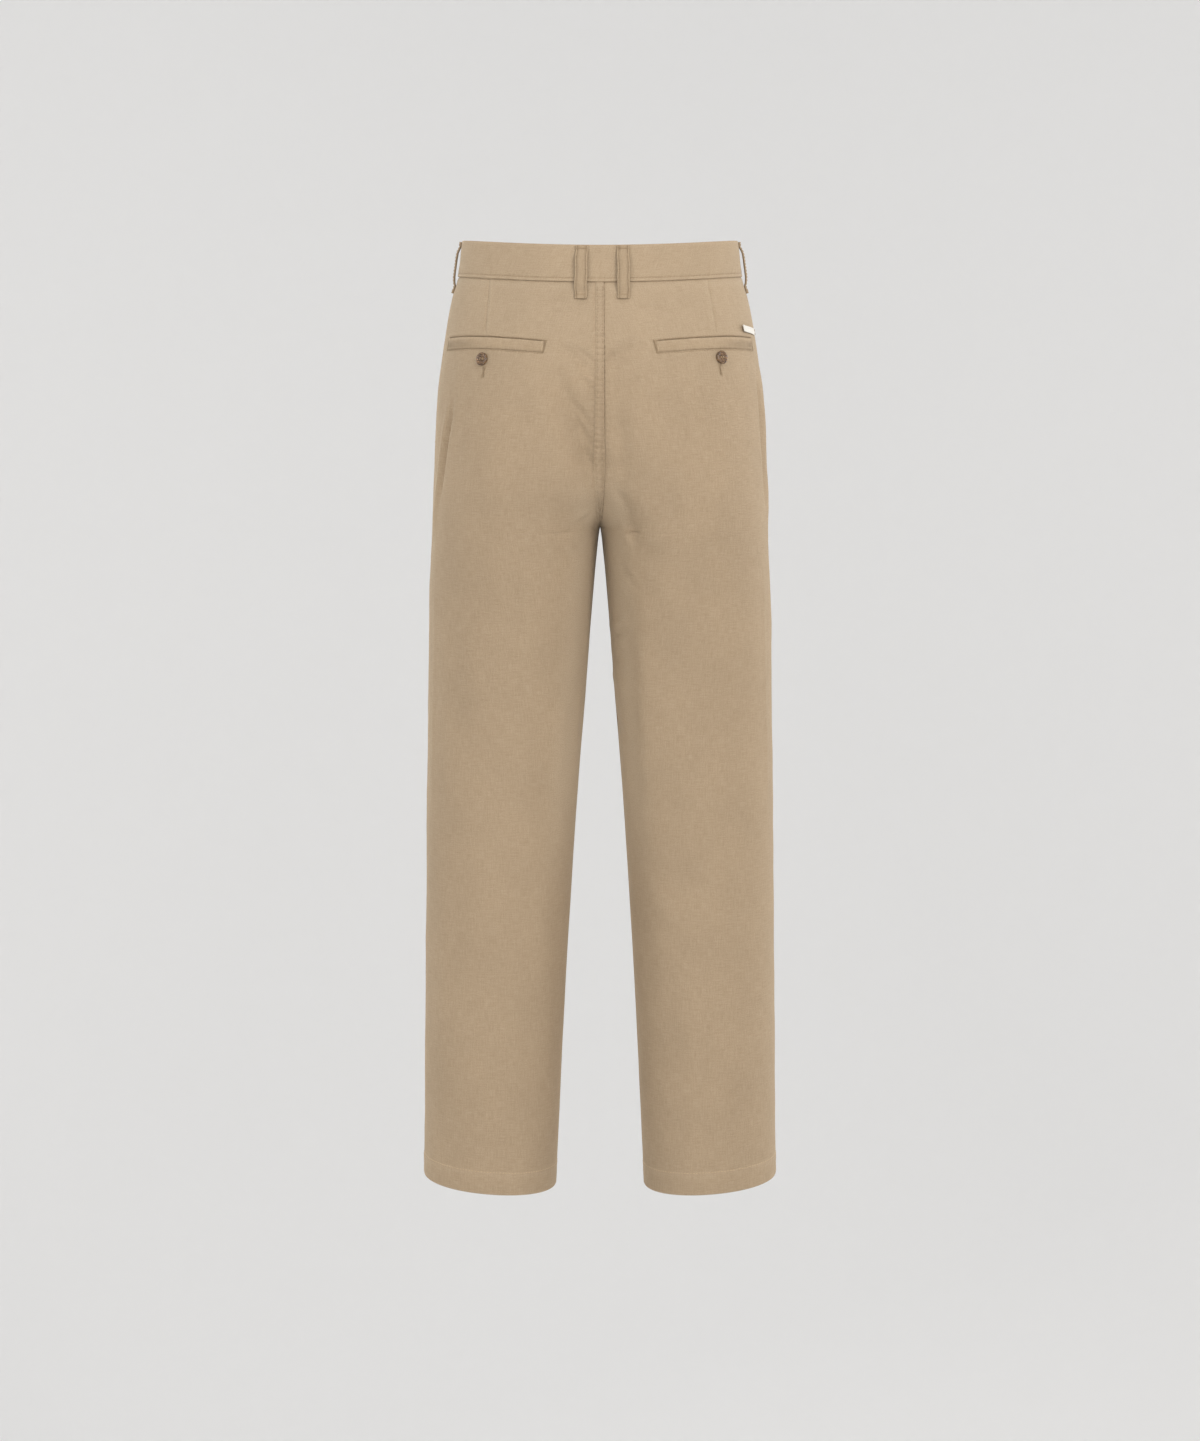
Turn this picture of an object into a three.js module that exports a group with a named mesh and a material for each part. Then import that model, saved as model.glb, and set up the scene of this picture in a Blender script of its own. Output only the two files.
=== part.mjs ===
// Chino trousers, filled out as when worn, hollow and open at the waist and at both hems.
// Millimetres, +Z up. The wearer's front faces -Y, and the wearer's left is +X.
// The origin is the centre of the waist opening, level with the band's top edge at the sides.

import * as THREE from 'three';

// Cloth and seams
const CLOTH = 1.4;
const SEAM_GAP = 0.3;
const BAND_HEIGHT = 39.5;
const BAND_PROUD = 1;
const BAND_THICK = 2.6;
const HEM_DEPTH = 26;
const HEM_THICK = 2.9;
const HEM_STEP = 2;
const FORK_Z = -315.5;
const HEM_Z = -1071;
const SIDE_SEAM_FORWARD = 2;

// Half of the garment, one row for each level. outer and inner are distances from the
// centre plane, front and back are along Y, and square is the exponent of the oval.
// A negative inner lies past the centre plane, where the two halves are joined.
const SECTIONS = [
  { z: 0, outer: 152, inner: -152, front: -108, back: 108, square: 2.15 },
  { z: -41, outer: 157.6, inner: -157.6, front: -113, back: 114, square: 2.15 },
  { z: -65, outer: 164.5, inner: -160, front: -116, back: 119, square: 2.18 },
  { z: -115, outer: 173.5, inner: -154, front: -120, back: 131, square: 2.2 },
  { z: -175, outer: 181, inner: -126, front: -122, back: 141, square: 2.22 },
  { z: -231, outer: 183.8, inner: -82, front: -121, back: 144, square: 2.22 },
  { z: -270, outer: 185.6, inner: -42, front: -119, back: 141, square: 2.22 },
  { z: -298, outer: 186.9, inner: -14, front: -115.5, back: 134, square: 2.2 },
  { z: FORK_Z, outer: 187.5, inner: 0.15, front: -112.5, back: 128, square: 2.2 },
  { z: -345, outer: 189, inner: 3.8, front: -107.5, back: 119, square: 2.18 },
  { z: -400, outer: 191.9, inner: 8.9, front: -99.5, back: 107, square: 2.15 },
  { z: -514, outer: 194.2, inner: 17.4, front: -87.5, back: 90, square: 2.12 },
  { z: -629, outer: 196.8, inner: 26.6, front: -79.5, back: 78, square: 2.1 },
  { z: -745, outer: 198.3, inner: 34.2, front: -75, back: 71, square: 2.1 },
  { z: -862, outer: 200.4, inner: 40.9, front: -73, back: 70, square: 2.1 },
  { z: -980, outer: 201.9, inner: 46.7, front: -72, back: 70, square: 2.1 },
  { z: HEM_Z, outer: 203.3, inner: 51.2, front: -72, back: 71, square: 2.1 },
];

// The waistline dips at the centre back and the centre front, and runs level lower down.
const WAIST_DIP = { back: 7, front: 12, levelFrom: -45, levelTo: -165 };
// Each hem is square to its leg, so its inner side hangs lower than its outer side.
const HEM_SLANT = { drop: 13, from: -900 };

// Levels of the cloth rows from top to bottom, close together where the form turns. In the
// seat the rows sink towards the centre, so that their ends share out the curve of the fork.
const SEAT_Z = -231;
const ROW_STRETCHES = [
  { from: -BAND_HEIGHT - SEAM_GAP, to: SEAT_Z, steps: 12 },
  { from: SEAT_Z, to: FORK_Z, steps: 7 },
  { from: FORK_Z, to: -600, steps: 6 },
  { from: -600, to: HEM_Z + HEM_DEPTH + HEM_STEP, steps: 4 },
  { from: HEM_Z + HEM_DEPTH + HEM_STEP, to: HEM_Z + HEM_DEPTH, steps: 1 },
  { from: HEM_Z + HEM_DEPTH, to: HEM_Z, steps: 1 },
];
const BACK_COLUMNS = 13;
const FRONT_COLUMNS = 10;

// The largest folds. across is the distance from the centre plane and z the level, at the
// fold's two ends. A negative lift is a trough. side 1 is the wearer's left.
const FOLDS = [
  { panel: 'back', side: 1, across: 43, z: -113, acrossEnd: 4, zEnd: -140, width: 13, lift: -2.2 },
  { panel: 'back', side: -1, across: 43, z: -112, acrossEnd: 11, zEnd: -140, width: 13, lift: -2.2 },
  { panel: 'back', side: 1, across: 55, z: -139, acrossEnd: 31, zEnd: -191, width: 14, lift: -2.4 },
  { panel: 'back', side: 1, across: 31, z: -191, acrossEnd: 4, zEnd: -268, width: 14, lift: -3 },
  { panel: 'back', side: 1, across: 62, z: -168, acrossEnd: 26, zEnd: -258, width: 16, lift: 2 },
  { panel: 'back', side: -1, across: 14, z: -160, acrossEnd: 20, zEnd: -255, width: 12, lift: -2.6 },
  { panel: 'back', side: -1, across: 20, z: -72, acrossEnd: 72, zEnd: -82, width: 9, lift: -1.4 },
  { panel: 'back', side: 1, across: 17, z: -76, acrossEnd: 56, zEnd: -78, width: 9, lift: -1.4 },
  { panel: 'back', side: 1, across: 30, z: -308, acrossEnd: 8, zEnd: -292, width: 12, lift: -1.2 },
  { panel: 'back', side: -1, across: 32, z: -318, acrossEnd: 10, zEnd: -296, width: 12, lift: -1.2 },
  { panel: 'front', side: 1, across: 78, z: -262, acrossEnd: 18, zEnd: -284, width: 13, lift: -2.4 },
  { panel: 'front', side: -1, across: 74, z: -256, acrossEnd: 16, zEnd: -280, width: 13, lift: -2.4 },
  { panel: 'front', side: 1, across: 92, z: -232, acrossEnd: 34, zEnd: -256, width: 12, lift: 1.6 },
  { panel: 'front', side: -1, across: 88, z: -292, acrossEnd: 30, zEnd: -300, width: 12, lift: 1.6 },
];

// Front pockets: a slanted mouth from the band to the side seam
const POCKET = { mouthWidth: 42, mouthBottom: -236, facingUnder: 14, facingBottom: -252 };
const FACING = { depth: 2.5, thick: 1.2, rows: 8, columns: 4 };
// The bags hang from the band, close to the cloth at their top and clear of it below.
const BAG_THICK = 0.8;
const BAG_HANG = { clear: 6, over: 70 };
const FRONT_BAG = { top: -44, bottom: -318, reach: 132, inset: 6, depth: 4.4, rows: 5, columns: 5 };
const FRONT_BAG_TAPER = { width: 34, from: -230 };
const BACK_BAG = { top: -44, bottom: -292, start: 46, length: 168, depth: 2.4, rows: 6, columns: 6 };

// Back pockets: one welt each, measured along the cloth from the centre-back seam
const WELT = { start: 61, length: 138, top: -106.7, height: 13, arch: 3, columns: 12 };
const WELT_FACE = { lift: 0.55, thick: 1.1 };
const BACK_BUTTONS = [
  { side: 1, name: 'left', across: 127, z: -128.6 },
  { side: -1, name: 'right', across: 131, z: -126.8 },
];
const BACK_BUTTON = { radius: 7.2, thick: 3, dish: 0.7, rim: 1.9 };
const BUTTON_EDGE = { round: 0.28, bevel: 0.3, sides: 24 };
const WAIST_BUTTON = { radius: 8.6, thick: 3.4, dish: 0.8, rim: 2.2, across: 11, z: -20.5 };

// Belt loops: where each one stands, and its side view from top to foot. out is how far
// the loop's inner face stands off the panel's face, and drop is measured from the waist.
// slack is how much further the middle of a loop bows out.
const LOOP = { width: 13.5, thick: 1.7, columns: 2, bow: 5.4, seat: 1.4 };
const LOOPS = [
  { name: 'back_left', side: 1, panel: 'back', across: 19.4, lean: 1, slack: 1.7 },
  { name: 'back_right', side: -1, panel: 'back', across: 24.6, lean: 0.4, slack: 1.9 },
  { name: 'side_left', side: 1, panel: 'side', across: 0, lean: 0, slack: 0.3 },
  { name: 'side_right', side: -1, panel: 'side', across: 0, lean: 0, slack: 0.3 },
  { name: 'front_left', side: 1, panel: 'front', across: 64, lean: 0, slack: 2 },
  { name: 'front_right', side: -1, panel: 'front', across: 64, lean: 0, slack: 2 },
];
const LOOP_PROFILE = [
  { drop: 1.5, out: 1.4 },
  { drop: 7, out: 1.4 },
  { drop: 10, out: 4.2 },
  { drop: 14, out: 6.2 },
  { drop: 21, out: 6.8 },
  { drop: 32, out: 6.8 },
  { drop: 40, out: 6.4 },
  { drop: 46, out: 4.2 },
  { drop: 50, out: 0.6 },
  { drop: 58, out: 0.6 },
];

// Fly, all of it behind the two fronts. depth is measured inwards from the cloth's face.
const FLY = {
  facing: { from: 0.5, to: 36, top: -44, bottom: -212, depth: 2.36, thick: 1 },
  zip: { from: -14, to: 20, top: -61, bottom: -206, depth: 5.05, tape: 0.8, chain: 2.8, chainHalf: 3 },
  slider: { from: -1.8, to: 7.8, top: -47.5, bottom: -60.7, depth: 5.05, thick: 2.8 },
  tab: { from: 0.4, to: 5.6, top: -50, bottom: -74, depth: 3.65, thick: 1.1 },
  shield: { from: -16, to: 36, top: -44, bottom: -216, depth: 8.45, thick: 1 },
};
const ZIP_CENTRE = 3;
const ZIP_EDGE = 0.5;
const FLY_ROW = 16;
const BAND_UNDERLAP = 38;
const BAND_COLUMNS = 64;
const BAND_STEP = { from: 18, to: 3 };

// Side label: a narrow woven tab, sewn down by its end near the right side seam
const LABEL = { start: 20, length: 42, z: -96.8, rise: 5, height: 7.4 };
const LABEL_FACE = { lift: 0.6, standOff: 2.4, thick: 0.9, columns: 4 };

// Colours and finishes
const TWILL = { color: 0xb29a80, roughness: 0.92, metalness: 0 };
const TWILL_DOUBLE = { color: 0xb8a284, roughness: 0.92, metalness: 0 };
const POCKETING = { color: 0xd8cfbf, roughness: 0.95, metalness: 0 };
const HORN = { color: 0x6a513a, roughness: 0.38, metalness: 0 };
const BRASS = { color: 0xb08d4c, roughness: 0.35, metalness: 1 };
const WOVEN_TAB = { color: 0xe9e5dd, roughness: 0.85, metalness: 0 };

const OVAL_STEPS = 160;
const SLOPE_STEP = 1;
const TINY = 1e-6;
const garment = new THREE.Group();

function smooth(from, to, value) {
  return THREE.MathUtils.smoothstep(value, Math.min(from, to), Math.max(from, to));
}

// Slopes for a curve through the rows that never overshoots them.
function columnSlopes(column) {
  const gaps = SECTIONS.slice(1).map((row, i) => SECTIONS[i].z - row.z);
  const steps = SECTIONS.slice(1).map((row, i) => (SECTIONS[i][column] - row[column]) / gaps[i]);
  return SECTIONS.map((row, i) => {
    if (i === 0) {
      return steps[0];
    }
    if (i === SECTIONS.length - 1) {
      return steps[i - 1];
    }
    if (steps[i - 1] * steps[i] <= 0) {
      return 0;
    }
    const near = 2 * gaps[i] + gaps[i - 1];
    const far = gaps[i] + 2 * gaps[i - 1];
    return (near + far) / (near / steps[i - 1] + far / steps[i]);
  });
}

const COLUMNS = ['outer', 'inner', 'front', 'back', 'square'];
const SLOPES = Object.fromEntries(COLUMNS.map((column) => [column, columnSlopes(column)]));

function sectionAt(z) {
  const last = SECTIONS.length - 2;
  const below = SECTIONS.findIndex((row) => row.z <= z);
  const i = THREE.MathUtils.clamp(below < 0 ? last : below - 1, 0, last);
  const span = SECTIONS[i].z - SECTIONS[i + 1].z;
  const t = (z - SECTIONS[i + 1].z) / span;
  const section = {};
  for (const column of COLUMNS) {
    const low = SECTIONS[i + 1][column];
    const high = SECTIONS[i][column];
    const slopeLow = SLOPES[column][i + 1] * span;
    const slopeHigh = SLOPES[column][i] * span;
    section[column] = low * (1 + 2 * t) * (1 - t) ** 2 + slopeLow * t * (1 - t) ** 2
      + high * t * t * (3 - 2 * t) + slopeHigh * t * t * (t - 1);
  }
  section.middle = (section.outer + section.inner) / 2;
  section.halfWidth = (section.outer - section.inner) / 2;
  section.centreY = (section.front + section.back) / 2;
  section.halfDepth = (section.back - section.front) / 2;
  return section;
}

function signedPower(value, power) {
  return Math.sign(value) * Math.abs(value) ** power;
}

// A point of the half oval at turn, which is 0 at the side and grows towards the back.
function ovalPoint(section, turn) {
  const power = 2 / section.square;
  return {
    x: section.middle + section.halfWidth * signedPower(Math.cos(turn), power),
    y: section.centreY + section.halfDepth * signedPower(Math.sin(turn), power),
  };
}

// The turn at which the oval meets the distance across from the centre plane.
function turnAcross(section, across) {
  const share = THREE.MathUtils.clamp((across - section.middle) / section.halfWidth, -1, 1);
  return Math.acos(signedPower(share, section.square / 2));
}

// Lengths along the half oval from the side to the seam at the centre or the inseam.
const girths = new Map();

function girthAt(z) {
  if (!girths.has(z)) {
    const section = sectionAt(z);
    const end = turnAcross(section, SEAM_GAP / 2);
    const lengths = [0];
    let previous = ovalPoint(section, 0);
    for (let i = 1; i <= OVAL_STEPS; i += 1) {
      const next = ovalPoint(section, (end * i) / OVAL_STEPS);
      lengths.push(lengths[i - 1] + Math.hypot(next.x - previous.x, next.y - previous.y));
      previous = next;
    }
    girths.set(z, { section, end, lengths, half: lengths[OVAL_STEPS] });
  }
  return girths.get(z);
}

// The turn at a length from the side, negative towards the front.
function turnAlong(z, length) {
  const girth = girthAt(z);
  const goal = Math.min(Math.abs(length), girth.half);
  let i = 1;
  while (i < OVAL_STEPS && girth.lengths[i] < goal) {
    i += 1;
  }
  const start = girth.lengths[i - 1];
  const part = (goal - start) / Math.max(girth.lengths[i] - start, TINY);
  return Math.sign(length) * girth.end * ((i - 1 + part) / OVAL_STEPS);
}

// How far the levels of a point are shifted by the waistline's dip and the hem's slant.
function levelShift(section, x, y, z) {
  const middle = 1 - Math.min(1, (x / section.outer) ** 2);
  const dip = (y > section.centreY ? WAIST_DIP.back : WAIST_DIP.front) * middle;
  const hemCentre = (section.outer + section.inner) / 2;
  const slant = (HEM_SLANT.drop * (x - hemCentre)) / (section.outer - section.inner);
  return slant * (1 - smooth(HEM_Z, HEM_SLANT.from, z))
    - dip * smooth(WAIST_DIP.levelTo, WAIST_DIP.levelFrom, z);
}

function foldLift(panel, side, x, z) {
  let total = 0;
  for (const fold of FOLDS) {
    if (fold.panel === panel && fold.side === side) {
      const run = new THREE.Vector2(fold.acrossEnd - fold.across, fold.zEnd - fold.z);
      const here = new THREE.Vector2(x - fold.across, z - fold.z);
      const along = here.dot(run) / run.lengthSq();
      const off = here.addScaledVector(run, -THREE.MathUtils.clamp(along, 0, 1)).length();
      total += fold.lift * Math.exp(-((off / fold.width) ** 2));
    }
  }
  return total;
}

// A point off the cloth's face at a turn and a level, moved out along the face's normal.
function clothPoint(side, turn, z, out) {
  const section = sectionAt(z);
  const flat = ovalPoint(section, turn);
  const lower = ovalPoint(sectionAt(z - SLOPE_STEP), turn);
  const edge = section.square - 1;
  const normal = new THREE.Vector3(
    signedPower((flat.x - section.middle) / section.halfWidth, edge) / section.halfWidth,
    signedPower((flat.y - section.centreY) / section.halfDepth, edge) / section.halfDepth,
    0,
  ).normalize();
  normal.z = -(normal.x * (flat.x - lower.x) + normal.y * (flat.y - lower.y)) / SLOPE_STEP;
  normal.normalize();
  const panel = turn > 0 ? 'back' : 'front';
  const point = new THREE.Vector3(flat.x, flat.y, z);
  point.z += levelShift(section, flat.x, flat.y, z);
  point.addScaledVector(normal, out + foldLift(panel, side, flat.x, z));
  point.x = Math.max(point.x, SEAM_GAP / 2);
  point.x *= side;
  normal.x *= side;
  return { point, normal };
}

function materialOf(finish, name) {
  return new THREE.MeshStandardMaterial({ ...finish, name });
}

function addMesh(name, geometry, finish) {
  const mesh = new THREE.Mesh(geometry, materialOf(finish, name));
  mesh.name = name;
  garment.add(mesh);
  return mesh;
}

function signedVolume(vertices, triangles) {
  let total = 0;
  for (let i = 0; i < triangles.length; i += 3) {
    const [a, b, c] = [0, 1, 2].map((k) => vertices[triangles[i + k]]);
    total += a.dot(b.clone().cross(c));
  }
  return total;
}

// A closed wall between two grids of points of the same shape.
function wallGeometry(outerRows, innerRows) {
  const rows = outerRows.length;
  const columns = outerRows[0].length;
  const vertices = [...outerRows.flat(), ...innerRows.flat()];
  const inner = rows * columns;
  const at = (row, column) => row * columns + column;
  const triangles = [];
  const quad = (a, b, c, d) => triangles.push(a, b, c, a, c, d);
  for (let r = 0; r < rows - 1; r += 1) {
    for (let c = 0; c < columns - 1; c += 1) {
      quad(at(r, c), at(r + 1, c), at(r + 1, c + 1), at(r, c + 1));
      quad(inner + at(r, c), inner + at(r, c + 1), inner + at(r + 1, c + 1), inner + at(r + 1, c));
    }
    const end = columns - 1;
    quad(at(r, 0), inner + at(r, 0), inner + at(r + 1, 0), at(r + 1, 0));
    quad(at(r, end), at(r + 1, end), inner + at(r + 1, end), inner + at(r, end));
  }
  for (let c = 0; c < columns - 1; c += 1) {
    const end = rows - 1;
    quad(at(0, c), at(0, c + 1), inner + at(0, c + 1), inner + at(0, c));
    quad(at(end, c), inner + at(end, c), inner + at(end, c + 1), at(end, c + 1));
  }
  if (signedVolume(vertices, triangles) < 0) {
    triangles.reverse();
  }
  const geometry = new THREE.BufferGeometry().setFromPoints(vertices);
  geometry.setIndex(triangles);
  geometry.computeVertexNormals();
  return geometry;
}

function levels(stretches) {
  const found = [stretches[0].from];
  for (const { from, to, steps } of stretches) {
    for (let i = 1; i <= steps; i += 1) {
      found.push(THREE.MathUtils.lerp(from, to, i / steps));
    }
  }
  return found;
}

// The level at which a panel's row meets the centre seam.
function rowEnd(level) {
  const rise = (level - FORK_Z) / (SEAT_Z - FORK_Z);
  return rise > 0 && rise < 1 ? THREE.MathUtils.lerp(FORK_Z, SEAT_Z, rise * rise) : level;
}

// A piece of cloth on one side of the garment. from and to give, for a level, the lengths
// from the side seam's oval point, and outer and inner give the two faces' distances.
function addCloth(name, finish, { side, rows, columns, from, to, outer, inner, sink }) {
  const grid = (offset) => rows.map((level) => Array.from({ length: columns }, (_, c) => {
    const share = c / (columns - 1);
    const z = sink ? THREE.MathUtils.lerp(level, rowEnd(level), share * share) : level;
    const length = THREE.MathUtils.lerp(from(z), to(z), share);
    return clothPoint(side, turnAlong(z, length), z, offset(z)).point;
  }));
  return addMesh(name, wallGeometry(grid(outer), grid(inner)), finish);
}

function hemThickness(z) {
  return z <= HEM_Z + HEM_DEPTH + TINY ? -HEM_THICK : -CLOTH;
}

function mouthWidth(z) {
  const share = (z - POCKET.mouthBottom) / (-BAND_HEIGHT - POCKET.mouthBottom);
  return POCKET.mouthWidth * THREE.MathUtils.clamp(share, 0, 1);
}

const clothRows = levels(ROW_STRETCHES);
const sideSeam = -SIDE_SEAM_FORWARD;
const halfGirth = (z) => girthAt(z).half;
// Above the fork the halves already stop short of the centre plane; below it the back and
// the front of one leg part at the inseam.
const inseamGap = (z) => (z <= FORK_Z + TINY ? SEAM_GAP / 2 : 0);

function addPanels(side, name) {
  addCloth(`back_${name}`, TWILL, {
    side,
    rows: clothRows,
    columns: BACK_COLUMNS,
    from: () => sideSeam + SEAM_GAP / 2,
    to: (z) => halfGirth(z) - inseamGap(z),
    outer: () => 0,
    inner: hemThickness,
    sink: true,
  });
  addCloth(`front_${name}`, TWILL, {
    side,
    rows: clothRows,
    columns: FRONT_COLUMNS,
    from: (z) => sideSeam - SEAM_GAP / 2 - mouthWidth(z),
    to: (z) => -halfGirth(z) + inseamGap(z),
    outer: () => 0,
    inner: hemThickness,
    sink: true,
  });
  addCloth(`hip_facing_${name}`, TWILL, {
    side,
    rows: levels([{ from: -BAND_HEIGHT - SEAM_GAP, to: POCKET.facingBottom, steps: FACING.rows }]),
    columns: FACING.columns,
    from: () => sideSeam - SEAM_GAP,
    to: (z) => sideSeam - mouthWidth(z) - POCKET.facingUnder,
    outer: () => -FACING.depth,
    inner: () => -FACING.depth - FACING.thick,
  });
}

function addPocketBags(side, name) {
  const frontRows = levels([{ from: FRONT_BAG.top, to: FRONT_BAG.bottom, steps: FRONT_BAG.rows }]);
  const fall = (z) => 1 - smooth(FRONT_BAG.bottom, FRONT_BAG_TAPER.from, z);
  const taper = (z) => FRONT_BAG_TAPER.width * fall(z) ** 2;
  const hang = (depth, z) => -depth - BAG_HANG.clear * smooth(0, BAG_HANG.over, FRONT_BAG.top - z);
  addCloth(`front_pocket_bag_${name}`, POCKETING, {
    side,
    rows: frontRows,
    columns: FRONT_BAG.columns,
    from: (z) => sideSeam - FRONT_BAG.inset - taper(z),
    to: (z) => sideSeam - FRONT_BAG.reach + taper(z),
    outer: (z) => hang(FRONT_BAG.depth, z),
    inner: (z) => hang(FRONT_BAG.depth + BAG_THICK, z),
  });
  const backRows = levels([{ from: BACK_BAG.top, to: BACK_BAG.bottom, steps: BACK_BAG.rows }]);
  addCloth(`back_pocket_bag_${name}`, POCKETING, {
    side,
    rows: backRows,
    columns: BACK_BAG.columns,
    from: (z) => halfGirth(z) - BACK_BAG.start,
    to: (z) => halfGirth(z) - BACK_BAG.start - BACK_BAG.length,
    outer: (z) => hang(BACK_BAG.depth, z),
    inner: (z) => hang(BACK_BAG.depth + BAG_THICK, z),
  });
}

// A welt lies on the back panel: its points are the panel's, moved out.
function addWelt(side, name) {
  const strip = (out) => [0, -WELT.height].map((drop) => (
    Array.from({ length: WELT.columns + 1 }, (_, c) => {
      const share = c / WELT.columns;
      const z = WELT.top + drop + WELT.arch * Math.sin(Math.PI * share);
      const length = halfGirth(z) - WELT.start - WELT.length * share;
      return clothPoint(side, turnAlong(z, length), z, out).point;
    })));
  const { lift, thick } = WELT_FACE;
  addMesh(`back_welt_${name}`, wallGeometry(strip(lift + thick), strip(lift)), TWILL_DOUBLE);
}

// A round button with a raised rim round a dished face, its axis along +Z.
function buttonGeometry({ radius, thick, dish, rim }) {
  const round = thick * BUTTON_EDGE.round;
  const bevel = round * BUTTON_EDGE.bevel;
  const profile = [
    [0, 0],
    [radius - round, 0],
    [radius - bevel, bevel],
    [radius, round],
    [radius, thick - round],
    [radius - bevel, thick - bevel],
    [radius - round, thick],
    [radius - rim, thick],
    [radius - rim - dish, thick - dish],
    [0, thick - dish],
  ].map(([r, height]) => new THREE.Vector2(r, height));
  return new THREE.LatheGeometry(profile, BUTTON_EDGE.sides).rotateX(Math.PI / 2);
}

function seatButton(mesh, { point, normal }) {
  mesh.position.copy(point);
  mesh.quaternion.setFromUnitVectors(new THREE.Vector3(0, 0, 1), normal);
}

// How far a flat disc must stand off a curved face to clear it.
function discClearance(radius, z) {
  return SEAM_GAP + (radius * radius) / (2 * sectionAt(z).halfDepth);
}

function addBackButton({ side, name, across, z }) {
  const turn = turnAcross(sectionAt(z), across);
  const mesh = addMesh(`back_button_${name}`, buttonGeometry(BACK_BUTTON), HORN);
  seatButton(mesh, clothPoint(side, turn, z, discClearance(BACK_BUTTON.radius, z)));
}

function addWaistButton() {
  const { z, across, radius } = WAIST_BUTTON;
  const turn = -turnAcross(sectionAt(z), across);
  const mesh = addMesh('waist_button', buttonGeometry(WAIST_BUTTON), HORN);
  seatButton(mesh, clothPoint(1, turn, z, BAND_PROUD + discClearance(radius, z)));
}

// The band starts at the centre front, goes round the left side, the back and the right
// side, and its right end runs on under its left end.
function bandPoint(along, z, out) {
  const half = halfGirth(z);
  const whole = 4 * half;
  if (along < 2 * half) {
    return clothPoint(1, turnAlong(z, along - half), z, out).point;
  }
  if (along < whole) {
    return clothPoint(-1, turnAlong(z, 3 * half - along), z, out).point;
  }
  return clothPoint(1, turnAlong(z, along - whole - half), z, out).point;
}

function addWaistband() {
  const rows = [0, -BAND_HEIGHT / 2, -BAND_HEIGHT];
  const grid = (depth) => rows.map((z) => Array.from({ length: BAND_COLUMNS + 1 }, (_, c) => {
    const whole = 4 * halfGirth(z);
    const along = (c / BAND_COLUMNS) * (whole + BAND_UNDERLAP);
    const under = smooth(whole - BAND_STEP.from, whole - BAND_STEP.to, along);
    return bandPoint(along, z, BAND_PROUD - depth - under * (BAND_THICK + SEAM_GAP));
  }));
  addMesh('waistband', wallGeometry(grid(0), grid(BAND_THICK)), TWILL_DOUBLE);
}

// A belt loop bridges the band, sewn down at its top and below the band.
function addBeltLoop({ name, side, panel, across, lean, slack }) {
  const grid = (extra) => LOOP_PROFILE.map(({ drop, out }) => (
    Array.from({ length: LOOP.columns + 1 }, (_, c) => {
      const z = -drop;
      const section = sectionAt(z);
      const sway = lean * (drop / BAND_HEIGHT);
      const start = panel === 'side' ? 0 : lengthAcross(z, section, across + sway, panel);
      const length = start + LOOP.width * (c / LOOP.columns - 0.5);
      const bow = slack * Math.max(0, (out - LOOP.seat) / LOOP.bow);
      return clothPoint(side, turnAlong(z, length), z, out + bow + extra).point;
    })));
  addMesh(`belt_loop_${name}`, wallGeometry(grid(LOOP.thick), grid(0)), TWILL_DOUBLE);
}

// The length from the side at which the oval is a distance across from the centre plane.
function lengthAcross(z, section, across, panel) {
  const girth = girthAt(z);
  const place = (turnAcross(section, across) / girth.end) * OVAL_STEPS;
  const i = Math.min(Math.floor(place), OVAL_STEPS - 1);
  const length = THREE.MathUtils.lerp(girth.lengths[i], girth.lengths[i + 1], place - i);
  return panel === 'back' ? length : -length;
}

// Near the centre front the cloth's face is followed across the centre plane.
function flyPoint(across, z, out) {
  const section = sectionAt(z);
  const length = Math.max(Math.abs(across), SEAM_GAP / 2);
  const { point, normal } = clothPoint(1, -turnAcross(section, length), z, 0);
  point.x = across;
  return point.addScaledVector(new THREE.Vector3(0, normal.y, normal.z).normalize(), out);
}

// A strip behind the fly. stations are its distances across, and thickness is taken at each.
function addFlyPiece(name, finish, { top, bottom, depth }, stations, thickness) {
  const steps = Math.ceil((top - bottom) / FLY_ROW);
  const heights = levels([{ from: top, to: bottom, steps }]);
  const grid = (out) => heights.map((z) => stations.map((across) => flyPoint(across, z, out(across))));
  addMesh(name, wallGeometry(grid(() => -depth), grid((across) => -depth - thickness(across))), finish);
}

function addPlainFlyPiece(name, finish, piece) {
  const stations = [0, 1 / 3, 2 / 3, 1].map((share) => THREE.MathUtils.lerp(piece.from, piece.to, share));
  addFlyPiece(name, finish, piece, stations, () => piece.thick);
}

function addFly() {
  addPlainFlyPiece('fly_facing', TWILL, FLY.facing);
  addPlainFlyPiece('fly_shield', TWILL_DOUBLE, FLY.shield);
  addPlainFlyPiece('fly_slider', BRASS, FLY.slider);
  addPlainFlyPiece('fly_pull_tab', BRASS, FLY.tab);
  const { from, to, tape, chain, chainHalf } = FLY.zip;
  const edges = [-chainHalf - ZIP_EDGE, -chainHalf, chainHalf, chainHalf + ZIP_EDGE];
  const stations = [from, ...edges.map((edge) => ZIP_CENTRE + edge), to];
  const inChain = (across) => Math.abs(across - ZIP_CENTRE) < chainHalf + ZIP_EDGE / 2;
  addFlyPiece('fly_zip', BRASS, FLY.zip, stations, (across) => (inChain(across) ? chain : tape));
}

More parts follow.
